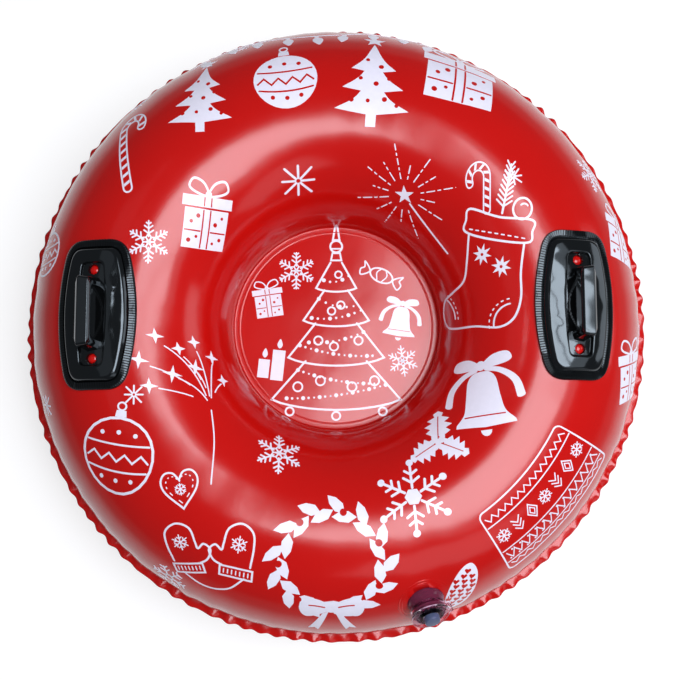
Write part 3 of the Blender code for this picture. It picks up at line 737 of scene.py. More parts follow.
def make_gasket(matrix):
    """A flat ring between the insert and the neck's step."""
    base = SHOULDER + FIT
    ring = band(0.0158, 0.0182, base, base + 0.001, 0.00035, matrix)
    put_mesh("insert_gasket_ring", [ring], RUBBER, "gasket", ("insert_gasket",))


def slab_between(lower, upper, matrix):
    """A strap as wide as the tab between two lines of (along, height) points, its long edges rounded off."""
    across = np.concatenate([np.linspace(-1, 1, 12), np.linspace(1, -1, 12)])
    level = np.repeat([1.0, 0.0], 12)
    edge = np.clip((1 - np.abs(across)) * TAB_WIDTH / 2 / 0.0010, 0, 1)
    lift = 0.5 + (level - 0.5) * (0.35 + 0.65 * np.sqrt(np.clip(1 - (1 - edge) ** 2, 0, 1)))
    side = lower[:, None] * (1 - lift[:, None]) + upper[:, None] * lift[:, None]
    y = np.broadcast_to(across * TAB_WIDTH / 2, side.shape[:2])
    return solid(to_world(np.stack([side[..., 0], y, side[..., 1]], -1), matrix))


def make_cap(matrix):
    """The clear cap: a brim with a raised edge, a hollow knob, a plug skirt, and the tab it hinges on."""
    brim = [
        (0.0005, KNOB_TOP, 0.0),
        (KNOB_RADIUS - 0.0004, KNOB_TOP, 0.0016),
        (KNOB_RADIUS + 0.0002, CAP_TOP, 0.0012),
        (CAP_RADIUS - 0.0022, CAP_TOP - 0.0004, 0.0006),
        (CAP_RADIUS - 0.0010, CAP_TOP + 0.0003, 0.0006),
        (CAP_RADIUS, CAP_TOP - 0.0002, 0.0006),
        (CAP_RADIUS, CAP_BASE, 0.0005),
        (0.0182, CAP_BASE, 0.0003),
        (0.0182, CAP_BASE - 0.0021, 0.0005),
        (0.0166, CAP_BASE - 0.0021, 0.0005),
        (0.0166, CAP_BASE, 0.0003),
        (0.0097, CAP_BASE, 0.0004),
        (0.0093, KNOB_TOP - 0.0016, 0.0010),
        (0.0005, KNOB_TOP - 0.0016, 0.0),
    ]
    knob = [
        (0.0004, KNOB_TOP + 0.0003, 0.0),
        (KNOB_RADIUS - 0.0001, KNOB_TOP + 0.0003, 0.0016),
        (KNOB_RADIUS + 0.0005, CAP_TOP + 0.0010, 0.0003),
        (KNOB_RADIUS - 0.0008, CAP_TOP + 0.0010, 0.0003),
        (KNOB_RADIUS - 0.0013, KNOB_TOP - 0.0006, 0.0010),
        (0.0004, KNOB_TOP - 0.0006, 0.0),
    ]
    put_mesh("valve_cap_knob", [turned(knob, matrix)], FROSTED_WITH_PAINTED_SHEEN, "cap", ("valve_cap",))
    run = np.linspace(CAP_RADIUS - 0.0012, TAB_END, 8)
    lines = (np.stack([run, np.full(8, height)], -1) for height in (CAP_BASE + 0.0004, CAP_TOP - 0.0004))
    parts = [turned(brim, matrix), slab_between(*lines, matrix)]
    put_mesh("valve_cap_clear", parts, CLEAR, "cap", ("valve_cap",))


def make_leash(matrix):
    """The ring round the neck, with the strap that rises to the cap's tab."""
    inner = NECK_FOOT_RADIUS - (NECK_FOOT_RADIUS - NECK_MOUTH_RADIUS) * (LEASH_BASE - 0.002) / 0.021 + FIT
    bend = np.linspace(-math.pi / 2, 0, 9)
    near, far = TAB_END + 0.0006, TAB_END + 0.0022
    sides = []
    for end, low, high, radius in ((far, 0.0125, 0.0155, 0.003), (near, 0.0155, 0.0170, 0.0015)):
        curve = np.stack([end - radius + radius * np.cos(bend), high + radius * np.sin(bend)], -1)
        sides.append(np.vstack([[(inner + 0.001, low)], curve, [(end, CAP_TOP - 0.0006)]]))
    parts = [band(inner, inner + 0.002, LEASH_BASE, LEASH_TOP, 0.0006, matrix), slab_between(*sides, matrix)]
    put_mesh("cap_leash_strap", parts, CLEAR, replaces=("cap_leash",))


# The print: motifs are drawn flat in millimetres, y up, then laid on the top sheet

STROKE = 2.4  # millimetres, like most lines of the print
LONGEST_STEP = 3.5  # millimetres between points, so that the print follows the sheet
RING_STEP = 4  # millimetres between the rings of a filled outline
ROUND_END = (0.04, 0.25, 0.6, 1.0)  # where a stroke's end gets points to be round, in half widths
SHARPEST_MITRE = 0.36  # cosine of the half turn past which a corner's mitre grows no longer
INK_ROOT = 0.0001  # depth of the print's underside below the sheet's face
INK_STACK = 0.00003  # between shapes that may overlap
DETAIL_RISE = 0.00016  # of the red details over the white ink
SEAM_RISE = 0.00012  # more beside the seam, where the print is coarser than the ruffles
SEAM_RISE_START, SEAM_RISE_RUN = 0.06, 0.04  # how far from the seam it starts, and until it's full


def arc(x, y, radius, first, last, count=14, tall=None):
    """Points of an arc round (x, y), between two angles in degrees, of an ellipse where tall is given."""
    angle = np.radians(np.linspace(first, last, count))
    return np.stack([x + radius * np.cos(angle), y + (tall or radius) * np.sin(angle)], -1)


def box(left, first, right, last):
    """The corners of an upright rectangle."""
    return [(left, first), (right, first), (right, last), (left, last)]


def smooth(points, closed=False, steps=7):
    """A Catmull-Rom curve through the points."""
    p = np.array(points, float)
    p = np.vstack([p[-1:], p, p[:2]]) if closed else np.vstack([2 * p[0] - p[1], p, 2 * p[-1] - p[-2]])
    t = np.linspace(0, 1, steps, endpoint=False)[None, :, None]
    a, b, c, d = (p[k : len(p) - 3 + k, None, :] for k in range(4))
    curve = 0.5 * (2 * b + (c - a) * t + (2 * a - 5 * b + 4 * c - d) * t**2 + (3 * b - a - 3 * c + d) * t**3)
    curve = curve.reshape(-1, 2)
    return curve if closed else np.vstack([curve, p[-2]])


def resampled(path, closed, extra=()):
    """The path with points added between those that lie far apart, and at extra distances from its ends."""
    path = np.vstack([path, path[:1]]) if closed else path
    steps = np.hypot(*np.diff(path, axis=0).T)
    path, steps = path[np.append(True, steps > 1e-6)], steps[steps > 1e-6]
    run = np.concatenate([[0], np.cumsum(steps)])
    spans = zip(run[:-1], run[1:])
    parts = [np.linspace(a, b, max(2, math.ceil((b - a) / LONGEST_STEP) + 1)) for a, b in spans]
    ends = [v for e in extra if e < run[-1] / 2 for v in (e, run[-1] - e)]
    at = np.unique(np.round(np.concatenate([*parts, ends]), 5))
    made = at_run(at, run, path)
    return (made[:-1] if closed else made), at


class Drawing:
    """Ribbons and filled outlines of a motif. Each is (points in rows and columns, level, red, ends): the
    level is 1 on the ink's face and 0 at its root, and the ends say how the rows close."""

    def __init__(self):
        self.shapes = []

    def line(self, path, width=STROKE, closed=False, red=False):
        """A ribbon along a path, mitred at its corners and round at its ends. A pair of widths tapers it."""
        first, last = width if isinstance(width, tuple) else (width, width)
        half = min(first, last) / 2
        path, at = resampled(np.array(path, float), closed, [half * v for v in ROUND_END])
        if closed:
            before, after = path - np.roll(path, 1, 0), np.roll(path, -1, 0) - path
        else:
            step = np.diff(path, axis=0)
            before, after = np.vstack([step[:1], step]), np.vstack([step, step[-1:]])
        before = before / np.linalg.norm(before, axis=1, keepdims=True)
        after = after / np.linalg.norm(after, axis=1, keepdims=True)
        along = before + after
        along /= np.maximum(np.linalg.norm(along, axis=1, keepdims=True), 1e-6)
        side = np.stack([-along[:, 1], along[:, 0]], -1)
        mitre = 1 / np.maximum(np.einsum("ij,ij->i", along, after), SHARPEST_MITRE)
        if not closed:
            room = np.clip(np.minimum(at - at[0], at[-1] - at) / half, 0.02, 1)
            mitre = mitre * np.sqrt(1 - (1 - room) ** 2)
            half = np.interp(at, at[[0, -1]], [first, last]) / 2
        side *= (half * mitre)[:, None]
        rows = np.stack([path + side, path - side, path - side, path + side], 1)
        level = np.broadcast_to([1, 1, 0, 0], rows.shape[:2])
        self.shapes.append((rows, level, red, "loop" if closed else "strip"))
        return self

    def fill(self, outline, centre=None, red=False):
        """A filled outline, as rings drawn in towards a centre that sees all of it."""
        outline, _ = resampled(np.array(outline, float), True)
        centre = outline.mean(0) if centre is None else np.array(centre, float)
        rings = max(1, math.ceil(np.hypot(*(outline - centre).T).max() / RING_STEP))
        share = np.arange(1, rings + 1) / rings
        share = np.concatenate([share, share[::-1]])[:, None, None]
        rows = centre + (outline - centre)[None] * share
        level = np.repeat([1, 0], rings)[:, None] * np.ones((1, len(outline)))
        self.shapes.append((rows, level, red, "fan"))
        return self

    def dot(self, x, y, radius, red=False):
        """A filled disc."""
        return self.fill(arc(x, y, radius, 0, 360, 15)[:-1], red=red)

    def ring(self, x, y, radius, width=STROKE):
        """A circle in outline."""
        return self.line(arc(x, y, radius, 0, 360, 25)[:-1], width, True)

    def add(self, other, x=0.0, y=0.0, turn=0.0, scale=1.0, flip=False):
        """Another drawing, mirrored if flip is set, turned anticlockwise in degrees and moved."""
        c, s = math.cos(math.radians(turn)), math.sin(math.radians(turn))
        matrix = np.array([[c, s], [-s, c]]) * scale
        if flip:
            matrix = np.array([[-1, 0], [0, 1]]) @ matrix
        self.shapes += [(rows @ matrix + (x, y), *rest) for rows, *rest in other.shapes]
        return self

    def pair(self, other, x=0.0, y=0.0):
        """Another drawing's mirror image and the drawing itself."""
        return self.add(other, x, y, flip=True).add(other, x, y)

    def round(self, other, count):
        """Another drawing, this many times round the origin."""
        for k in range(count):
            self.add(other, turn=360 / count * k)
        return self


def place_on_sheet(shapes, azimuth, along, tilt=0.0, scale=1.0, wrapped=False):
    """Sheet angles and distances of a drawing that stands upright in plan, or is wrapped round the ring."""
    along = along / 1000
    reach = float(TOP.place(np.array(along))[0]) or 1.0
    turn = math.radians(tilt + (0 if wrapped else 90 - azimuth))
    c, s = math.cos(turn), math.sin(turn)
    base = math.radians(azimuth)
    placed = []
    for rows, *rest in shapes:
        rows = rows @ np.array([[c, s], [-s, c]]) * scale / 1000
        x, y = rows[..., 0], rows[..., 1]
        if wrapped:
            angle, distance = base - x / reach, along + y
        else:
            x = x * (along / reach or 1.0)
            angle, distance = base - np.arctan2(x, along + y), np.hypot(along + y, x)
        placed.append((angle, distance, *rest))
    return placed


def make_print(name, placed):
    """Thin solids on the sheet: white ink, and red details a hair higher."""
    for red in (False, True):
        chosen = [shape for shape in placed if shape[3] is red]
        if not chosen:
            continue
        counts = [shape[0].size for shape in chosen]
        angle, along, level = (np.concatenate([shape[k].ravel() for shape in chosen]) for k in range(3))
        step = np.repeat(np.arange(len(chosen)) % 4 * INK_STACK, counts)
        rim = SEAM_RISE * np.clip((along - TOP.length + SEAM_RISE_START) / SEAM_RISE_RUN, 0, 1)
        face = sizes().ink_height + (DETAIL_RISE if red else 0) + step + rim
        points = on_sheet(TOP, angle, along, np.where(level > 0, face, -INK_ROOT))
        parts, at = [], 0
        for shape, size in zip(chosen, counts):
            parts.append(solid(points[at : at + size].reshape(*shape[0].shape, 3), shape[4]))
            at += size
        put_mesh(f"{name}_details" if red else name, parts, RED if red else INK)


def snowflake(radius, barbs, middle="ring", tips=0.0, width=2.2):
    """Six arms with pairs of barbs, given as (distance out, length), round a ring, a disc or petals."""
    arm = Drawing().line([(0, radius * (0.22 if middle else 0.02)), (0, radius)], width)
    for out, length in barbs:
        x, y = length * math.sin(math.radians(55)), length * math.cos(math.radians(55))
        arm.line([(-x, out + y), (0, out), (x, out + y)], width)
    if tips:
        arm.dot(0, radius, tips)
    if middle == "petals":
        arm.line(np.array([(0, 0.05), (0.13, 0.2), (0, 0.4), (-0.13, 0.2)]) * radius, width * 0.8, True)
    made = Drawing().round(arm, 6)
    corners = arc(0, 0, radius * 0.24, 0, 360, 7)[:-1]
    if middle == "ring":
        made.line(corners, width, True)
    if middle == "solid":
        made.fill(corners)
    return made


def starburst(radius, width):
    """Eight strokes from the middle, long and short in turn."""
    short, long = (Drawing().line([(0, radius * 0.1), (0, radius * far)], width) for far in (0.86, 1.0))
    return Drawing().round(short.add(long, turn=45), 4)


def star(points, outer, inner):
    """Corners of a star, the first pointing up."""
    angle = math.pi / 2 + np.arange(2 * points) * math.pi / points
    reach = np.where(np.arange(2 * points) % 2, inner, outer)
    return np.stack([reach * np.cos(angle), reach * np.sin(angle)], -1)


def ribboned_edge(path, width):
    """The closed outline of a band along a path, with round ends."""
    run = np.gradient(path, axis=0)
    run /= np.linalg.norm(run, axis=1, keepdims=True)
    side = np.stack([-run[:, 1], run[:, 0]], -1) * width / 2
    turn = np.linspace(0, math.pi, 7)[1:-1, None]
    far, near = (
        path[end] + sign * (side[end] * np.cos(turn) + run[end] * width / 2 * np.sin(turn))
        for end, sign in ((-1, 1), (0, -1))
    )
    return np.vstack([path + side, far, (path - side)[::-1], near])


def cane(height=88, hook=15, wide=11, stripes=12, width=2.2):
    """A striped walking-stick sweet: a band along a straight line and an arc, with slanted bars across."""
    path = np.vstack([[(0, y) for y in np.linspace(0, height, 20)], arc(-hook, height, hook, 8, 205, 18)])
    made = Drawing().line(ribboned_edge(path, wide), width, True)
    run = run_of(path)
    for at in np.linspace(wide * 0.6, run[-1] - wide * 0.3, stripes):
        here, there = at_run([at - 1.5, at + 1.5], run, path)
        way = (there - here) / np.linalg.norm(there - here)
        slant = np.array([-way[1], way[0]]) * (wide / 2 - width * 0.7) + way * 1.8
        middle, thick = (here + there) / 2, way * 1.9
        low, high = middle - thick, middle + thick
        made.fill([low - slant, low + slant, high + slant, high - slant])
    return made


def gift(width=56, height=46):
    """A white box with a lid, red ribbon and dots, and a looped bow."""
    half, top = width / 2, height + 15
    made = Drawing().fill(box(-half, 0, half, height))
    made.fill(box(-half - 4, height + 2.2, half + 4, height + 14))
    for x in (-4.5, 4.5):
        for first, last in ((0.6, height - 0.6), (height + 3, height + 13.4)):
            made.line([(x, first), (x, last)], 1.8, red=True)
    made.pair(Drawing().line([(half - 1, height * 0.45), (6, height * 0.45)], 1.8, red=True))
    dots = (-20, 9), (-11, 14), (-19, 31), (-11, 38), (11, 8), (20, 13), (12, 30), (20, 38)
    for k, (x, y) in enumerate(dots):
        made.dot(x * half / 28, y * height / 46, (2.6, 1.8, 2.2)[k % 3], True)
    loop = [(0, top), (7, top + 13), (20, top + 17), (25, top + 8), (15, top + 2)]
    bow = Drawing().line(smooth(loop, True), 2.6, True)
    made.pair(bow.line(smooth([(1, top), (9, top - 3), (14, top - 9)]), 2.1))
    return made.dot(0, top + 1, 4.2)


def bauble(radius, solid_ball=False):
    """A ball ornament with its cap and loop, two bowed bands, a zigzag and dots."""
    made = Drawing()
    if solid_ball:
        made.fill(arc(0, 0, radius, 0, 360, 33)[:-1])
    else:
        made.ring(0, 0, radius, 2.8)
    made.fill([(-6, radius + 1), (6, radius + 1), (5, radius + 8), (-5, radius + 8)])
    made.ring(0, radius + 12.5, 4.2, 1.8)
    t = np.linspace(-1, 1, 11)
    for y, bow in ((0.34, 1.8), (-0.34, 3.0)):
        x = radius * math.sqrt(1 - y * y) - 2.2
        made.line(np.stack([t * x, y * radius - bow * (1 - t * t)], -1), 2.0, red=solid_ball)
    t = np.linspace(-1, 1, 9)
    zigzag = np.where(np.arange(9) % 2, 3.6, -4.4) - 1.8 * (1 - t * t)
    made.line(np.stack([t * radius * 0.9, zigzag], -1), 2.0, red=solid_ball)
    for x in (-0.45, 0.0, 0.45):
        for y in (radius * 0.62 - abs(x) * 4, abs(x) * 4 - radius * 0.66):
            made.dot(x * radius, y, 2.4, solid_ball)
    return made


def bell():
    """A solid bell with a bow and a clapper."""
    half = smooth([(0, 38), (12, 36), (21, 25), (25, 0), (30, -22), (43, -36)])
    made = Drawing().fill(mirrored(np.vstack([half, [(44, -40), (0, -43)]])), (0, -8))
    made.fill(arc(0, -47, 8, 180, 360, 9))
    side = Drawing().fill(smooth([(0, 44), (16, 60), (38, 62), (44, 50), (30, 44)], True), (24, 51))
    made.pair(side.line(smooth([(5, 42), (28, 35), (47, 18), (54, -8)]), (6.0, 12.0)))
    return made.dot(0, 47, 7.5).line([(-30, -27), (30, -27)], 1.8, red=True)


def holly():
    """Three spiny leaves round their shared root, with berries."""
    length, width = 52, 20
    side = []
    for k in range(5):
        y = length * (0.10 + 0.20 * k)
        reach = width * math.sin(math.pi * (0.16 + 0.18 * k))
        side += [(reach * 0.56, y - length * 0.085), (reach * 1.02, y + length * 0.015)]
    leaf = Drawing().fill(mirrored(np.array([(0, 0), *side, (0, length)]))[:-1], (0, length / 2))
    leaf.line([(0, 5), (0, length * 0.82)], 1.5, red=True)
    made = Drawing()
    for turn, scale in ((0, 1.0), (118, 0.9), (-118, 0.9)):
        made.add(leaf, 0, 0, turn, scale)
    for x, y in arc(0, 0, 7, 90, 330, 3):
        made.dot(x, y, 5.6).dot(x + 1, y + 1, 1.2, True)
    return made


def cone():
    """A pine cone with red scale marks."""
    side = np.array([(0, 46), (13, 32), (19, 2), (15, -28), (0, -44)])
    made = Drawing().fill(smooth(mirrored(side)[:-1], True))
    for k, count in enumerate((1, 2, 3, 3, 3, 3, 3, 2, 1)):
        y = 34 - 8.6 * k
        for j in range(count):
            x = (j - (count - 1) / 2) * 11.6 + (1.3 if k % 2 else -1.3)
            made.line([(x - 3.6, y + 2.4), (x, y - 2.0), (x + 3.6, y + 2.4)], 4.2, red=True)
    return made


def candles():
    """Two candles with their flames."""
    made = Drawing()
    for x, base, top, half in ((-12, -22, 6, 8.5), (9, -24, 22, 9.5)):
        made.fill(box(x - half, base, x + half, top))
        made.fill(smooth([(x, top + 17), (x + 4, top + 8), (x, top + 2.6), (x - 4, top + 8)], True))
    return made


def sweet():
    """A wrapped sweet in outline."""
    end = Drawing().line(smooth([(21, 0), (35, 12), (32, 3), (37, -3), (33, -12)], True, 5), 2.4, True)
    end.line(smooth([(4, 11), (9, 2), (4, -10)]), 2.0)
    return Drawing().line(arc(0, 0, 20, 0, 360, 30, 11.5)[:-1], 2.8, True).pair(end)


def fir_tree():
    """A small tree of three tiers on a trunk."""
    made = Drawing()
    for low, high, half in ((14, 52, 21), (-8, 30, 29), (-30, 10, 36)):
        side = smooth([(0, high), (half * 0.42, low + 14), (half, low)])
        made.fill(mirrored(np.vstack([side, [(0, low - 4)]])), (0, low + 8))
    made.fill(box(-5, -33, 5, -45))
    dots = (-6, 26), (7, 18), (-12, 3), (3, -2), (15, 4), (-20, -20), (-4, -20), (12, -18), (24, -24)
    for k, (x, y) in enumerate(dots):
        made.dot(x, y, 2.0 + 0.5 * (k % 2), True)
    return made.fill(star(5, 11, 4.6) + (0, 60))


def mittens():
    """A pair of knitted mittens in outline on a cord, each with its cuff and a flake."""
    palm = [(-20, 0), (-22, 30), (-18, 52), (0, 62), (18, 52), (22, 30)]
    mitten = Drawing().line(smooth([*palm, (24, 20), (34, 26), (42, 16), (34, 2), (20, -4)]), 3.0)
    mitten.line(box(-24, -4, 24, -20), 2.8, True)
    for x in range(-18, 19, 6):
        mitten.line([(x, -8), (x, -16)], 1.8)
    mitten.add(snowflake(13, [(6, 5)], "", width=1.8), 0, 32)
    made = Drawing().add(mitten, -30, 0, 10, 0.8).add(mitten, 30, 0, -10, 0.8, True)
    return made.line(smooth([(-38, -16), (-14, -34), (14, -34), (38, -16)]), 2.2)


def wreath():
    """A ring of leaves with berries and a bow."""
    radius, leaves = 50, 26
    made = Drawing()
    leaf = Drawing().fill([(0, -2), (6, 7), (5, 17), (0, 25), (-5, 17), (-6, 7)], (0, 10))
    for k, (x, y) in enumerate(arc(0, 0, radius, 90, 450, leaves + 1)[:-1]):
        made.add(leaf, x, y, 360 / leaves * k + (58 if k % 2 else 118), 0.92)
    for x, y in arc(0, 0, radius, 25, 385, 8)[:-1]:
        if y > -0.8 * radius:
            made.dot(x, y, 3.6, True)
    bow = Drawing().fill(smooth([(0, 0), (10, 10), (26, 13), (31, 0), (25, -12), (10, -8)], True), (17, 0))
    bow.fill([(3, -5), (9, -8), (24, -36), (17, -34), (14, -40)], (10, -20))
    bow.line(smooth([(6, 1), (14, 3), (22, 4)]), 1.6, red=True)
    return made.pair(bow, 0, -radius).dot(0, -radius, 6.5)


def stocking():
    """A stocking in outline: toe to the left, cuff with stitches, stars, a cane, a sprig and a ball."""
    leg = [(-42, 58), (-38, 20), (-40, -8), (-60, -28), (-82, -46), (-88, -66), (-74, -80), (-50, -80)]
    leg += [(-10, -70), (26, -64), (46, -46), (52, -16), (46, 20), (43, 58)]
    made = Drawing().line(smooth(leg), 3.0)
    cuff = [(-48, 60), (0, 56), (48, 60), (51, 75), (48, 90), (0, 86), (-48, 90), (-51, 75)]
    made.line(smooth(cuff, True), 3.0, True)
    for x in range(-40, 41, 10):
        made.line([(x - 3, 64.5), (x + 3, 64.5)], 1.8)
    toe, heel = (-82, -72, 30, 10, 78, 12), (52, -58, 34, 112, 196, 14)
    for x, y, radius, *span in (toe, heel):
        made.line(arc(x, y, radius, *span), 2.4)
    for x, y, radius, *span in (toe, heel):
        stitches = arc(x, y, radius + 7, *span)
        for k in range(0, len(stitches) - 1, 2):
            made.line(stitches[k : k + 2], 1.8)
    for x, y in ((-15, 34), (17, 22)):
        made.fill(star(8, 15, 6.6) + (x, y)).dot(x, y, 2.2, True)
    made.add(cane(42, 14, 10, 9, 2.0), -22, 92, 16)
    sprig = Drawing().line([(0, 0), (2, 52)], 2.6)
    for k in range(9):
        sprig.pair(Drawing().line([(0, 0), (10 - 0.6 * k, 7)], 1.9), 0.2 * k, 8 + 5 * k)
    made.add(sprig, 2, 90, 4, 1.25)
    return made.add(Drawing().ring(0, 0, 12, 2.6).line(arc(2, 0, 6, 40, 150), 2.0), 30, 102, 0, 1.15)


def sparkler():
    """A star on a stem with rays of short strokes, but for the ray that the stem takes."""
    made = Drawing().fill(star(5, 14, 5.6)).line([(6, -12), (52, -92)], 2.4)
    patterns = (5, 3, 12, 3), (9, 3, 4, 3), (14, 3, 5, 3)  # lengths of stroke and gap in turn
    for k in range(16):
        turn = math.radians(22.5 * k + 8)
        if abs(turn - math.radians(303)) < 0.12:
            continue
        way = np.array([math.cos(turn), math.sin(turn)])
        start, end = way * 23, way * (70, 52, 62, 46)[k % 4]
        far, at, pattern = np.hypot(*(end - start)), 0.0, patterns[k % 3]
        way = (end - start) / far
        while at < far:
            made.line([start + way * at, start + way * min(at + pattern[0], far)], 1.6)
            at += sum(pattern[:2])
            pattern = pattern[2:] + pattern[:2]
    return made


def rocket_burst():
    """Curved trails from one foot, each with a four-pointed star at its end."""
    made = Drawing().line(smooth([(0, -8), (4, -60), (0, -118)]), 2.2)
    tips = (-104, 62), (-78, 104), (-46, 88), (-58, 44), (-92, 22), (-20, 104), (-22, 60), (10, 84), (26, 48)
    for k, (x, y) in enumerate(tips):
        trail = bezier((x * 0.06, y * 0.06), (x * 0.30, y * 0.62), (x * 0.86, y * 0.86), 16)
        made.line(trail[1 if k % 2 else 6 :], 2.0)
        made.add(Drawing().fill(star(4, 15 - k % 3 * 2, 4.2)), x, y, 8 * (k % 3 - 1))
    return made


def knitted_panel(length, width):
    """A framed strip like a knitted border: rows of zigzags, flakes, diamonds, small trees and dots."""
    half, tall = length / 2, width / 2
    corners = ((half - 9, tall - 9), (9 - half, tall - 9), (9 - half, 9 - tall), (half - 9, 9 - tall))
    frame = [arc(x, y, 9, 90 * k, 90 * k + 90, 6) for k, (x, y) in enumerate(corners)]
    made = Drawing().line(np.vstack(frame), 2.4, True)
    for y in (tall - 20, tall - 46, 24 - tall):
        made.line([(-half + 2, y), (half - 2, y)], 1.8)
    count = int(length / 7)
    x = np.linspace(-half + 6, half - 6, count)
    for y, reach in ((tall - 12, 3.4), (tall - 33, 7.5), (14 - tall, 4.0)):
        made.line(np.stack([x, y + reach * (-1) ** np.arange(count)], -1), 1.7)
    for x in np.arange(-half + 12, half - 8, 14.0):
        made.dot(x, tall - 40.5, 1.5).dot(x + 7, tall - 25.5, 1.5)
    for k, x in enumerate(np.linspace(-half + 17, half - 17, int(length / 26))):
        y = -11.0
        if k % 3 == 0:
            made.add(snowflake(12, [(6, 5)], "", width=1.7), x, y)
        elif k % 3 == 1:
            for high, wide, thick in ((13, 9, 1.8), (7, 4.5, 1.5)):
                made.line([(x, y + high), (x + wide, y), (x, y - high), (x - wide, y)], thick, True)
        else:
            for low in (2, -5, -12):
                made.line([(x - 8, y + low), (x, y + low + 9), (x + 8, y + low)], 1.8)
    return made


def heart():
    """A stitched heart in outline."""
    half = smooth([(0, 16), (8, 27), (20, 27), (27, 15), (22, -2), (0, -26)])
    edge = mirrored(half)[:-1]
    made = Drawing().line(edge, 2.8, True)
    inner = edge * 0.74 + (0, 1)
    for k in range(0, len(inner) - 3, 5):
        made.line(inner[k : k + 3], 1.6)
    return made.add(snowflake(9, [(5, 4)], "", width=1.6), 0, 2)


def light_string(length, sag, bulbs):
    """A wire that hangs in three waves, with pear-shaped bulbs."""
    x = np.linspace(-length / 2, length / 2, 40)
    y = -sag * np.cos(x * math.pi / length * 3) * 0.5 - sag * 0.5
    made = Drawing().line(np.stack([x, y], -1), 2.2)
    bulb = Drawing().fill(box(-3, 0, 3, -5))
    bulb.fill(smooth([(0, -6.4), (6, -11), (6.4, -18), (0, -27), (-6.4, -18), (-6, -11)], True))
    for k in range(bulbs):
        at = ((k + 0.5) / bulbs - 0.5) * length
        made.add(bulb, at, np.interp(at, x, y), 9 * math.sin(2.1 * k))
    return made


def seat_tree():
    """The large tree: tiers in outline, dotted garlands, ring baubles, and a ball and spire on top."""
    made = Drawing().line([(-4.5, 112), (0, 140), (4.5, 112)], 2.6, True).ring(0, 103, 8, 2.6)
    made.line([(-8, 100), (8, 100)], 2.0).line([(-5, 94), (5, 94), (7, 84), (-7, 84)], 2.4, True)
    tiers = (82, 46, 7, 27), (44, 2, 15, 44), (-1, -48, 27, 64), (-52, -104, 40, 86)
    for k, (high, low, top, foot) in enumerate(tiers):
        under = [(t * foot, low - (5 + 3 * k) * (1 - t * t) ** 0.8) for t in np.linspace(-1, 1, 15)]
        made.line([(-top, high), *under, (top, high)], 2.6)
        for row, share in enumerate((0.42, 0.80) if k else (0.62,)):
            y = high + (low - high) * share
            half = (top + (foot - top) * share) * 0.86
            lean = (-1) ** (k + row) * (3 + 2 * k)
            for j, t in enumerate(np.linspace(-1, 1, max(5, int(half / 3.4)))):
                made.dot(t * half, y - 5 * (1 - t * t) + lean * t, (2.7, 1.7, 1.3)[j % 3])
        for j in range(k + 1):
            x = (j - k / 2) * foot * 0.42 + 3 * (-1) ** j
            made.ring(x, high + (low - high) * 0.60 + 4 * (-1) ** (j + k), 4.6 + 0.5 * k, 2.2)
    for x, y in ((-62, -120), (0, -126), (62, -120)):
        made.ring(x, y, 5.4, 2.4)
    return made


def print_layout():
    """The print's pieces: their motifs, each with its azimuth, distance along the sheet, tilt and scale, and
    True where it is wrapped round the ring."""
    petals, double = [(12, 9), (19, 8), (25, 5)], [(14, 10), (22, 8)]
    flake = snowflake(31, petals, "petals")
    return {
        "print_seat_tree": [(seat_tree(), 90, 8, 0, 1.13)],
        "print_seat_motifs": [
            (snowflake(29, petals, "petals"), 125, 106),
            (snowflake(24, [(10, 8), (16, 6)], "petals", width=1.8), -27, 113, 8),
            (candles(), -150, 112, -6),
            (sweet(), 49, 105, -24, 0.90),
            (gift(), 171, 101, 8, 0.72),
            (bell(), 6, 98, -8, 0.56),
        ],
        "print_snowflakes": [
            (flake, 158.8, 366),
            (flake, -112.5, 284, -4, 1.12),
            (snowflake(50, [(20, 15), (32, 12)], "solid", 5.2, 3.6), -67.2, 358, 6),
            (snowflake(30, petals, "petals"), 30, 541, 0, 1.05),
            (snowflake(28, double), 107.8, 560),
            (snowflake(26, double), -122.9, 552),
            (starburst(29, 3.4), 105.3, 281, 4),
            (starburst(18, 2.6), -163.6, 548),
            (starburst(18, 2.6), -2, 588),
            (starburst(17, 2.6), 132, 560),
            (starburst(16, 2.4), -158, 385),
            (starburst(15, 2.4), 38, 402, 10),
        ],
        "print_gifts": [
            (gift(), 153, 291, -6, 1.2),
            (gift(), 11.4, 528, -6, 1.15),
            (gift(), -15.2, 556, 8, 1.15),
            (gift(62, 44), 60.5, 436, -12, 1.62),
        ],
        "print_sweets": [(Drawing().add(cane(), flip=True), 148.5, 430, 14, 1.15)],
        "print_stocking": [(stocking(), 13.5, 300, -12)],
        "print_sparkler": [(sparkler(), 61, 278, 0, 1.06)],
        "print_fireworks": [(rocket_burst(), -144.5, 293, 0, 0.92)],
        "print_bells": [
            (bell(), -29.2, 316, 6),
            (holly(), -51.2, 308, 4),
            (cone(), -65.3, 523, -6, 1.1),
        ],
        "print_baubles": [
            (bauble(34, True), 102, 432, 6, 1.35),
            (bauble(30), 167, 540, 0, 1.1),
            (bauble(40), -147, 447, -8, 1.35),
        ],
        "print_trees": [(fir_tree(), 121.5, 458, 2, 1.3), (fir_tree(), 81, 424, -4, 1.5)],
        "print_mittens": [(mittens(), -116.5, 474, 0, 1.22), (heart(), -131, 408, 10, 0.95)],
        "print_wreath": [(wreath(), -91, 428, 0, 1.45)],
        "print_borders": [
            (knitted_panel(196, 118), -41, 484, 0, 1.0, True),
            (light_string(330, 26, 9), 94, 560, 0, 1.2, True),
        ],
    }


def make_all_print():
    """Lays every motif on the sheet, one piece for each group."""
    for name, motifs in print_layout().items():
        make_print(name, [shape for motif, *spot in motifs for shape in place_on_sheet(motif.shapes, *spot)])


# Finishes


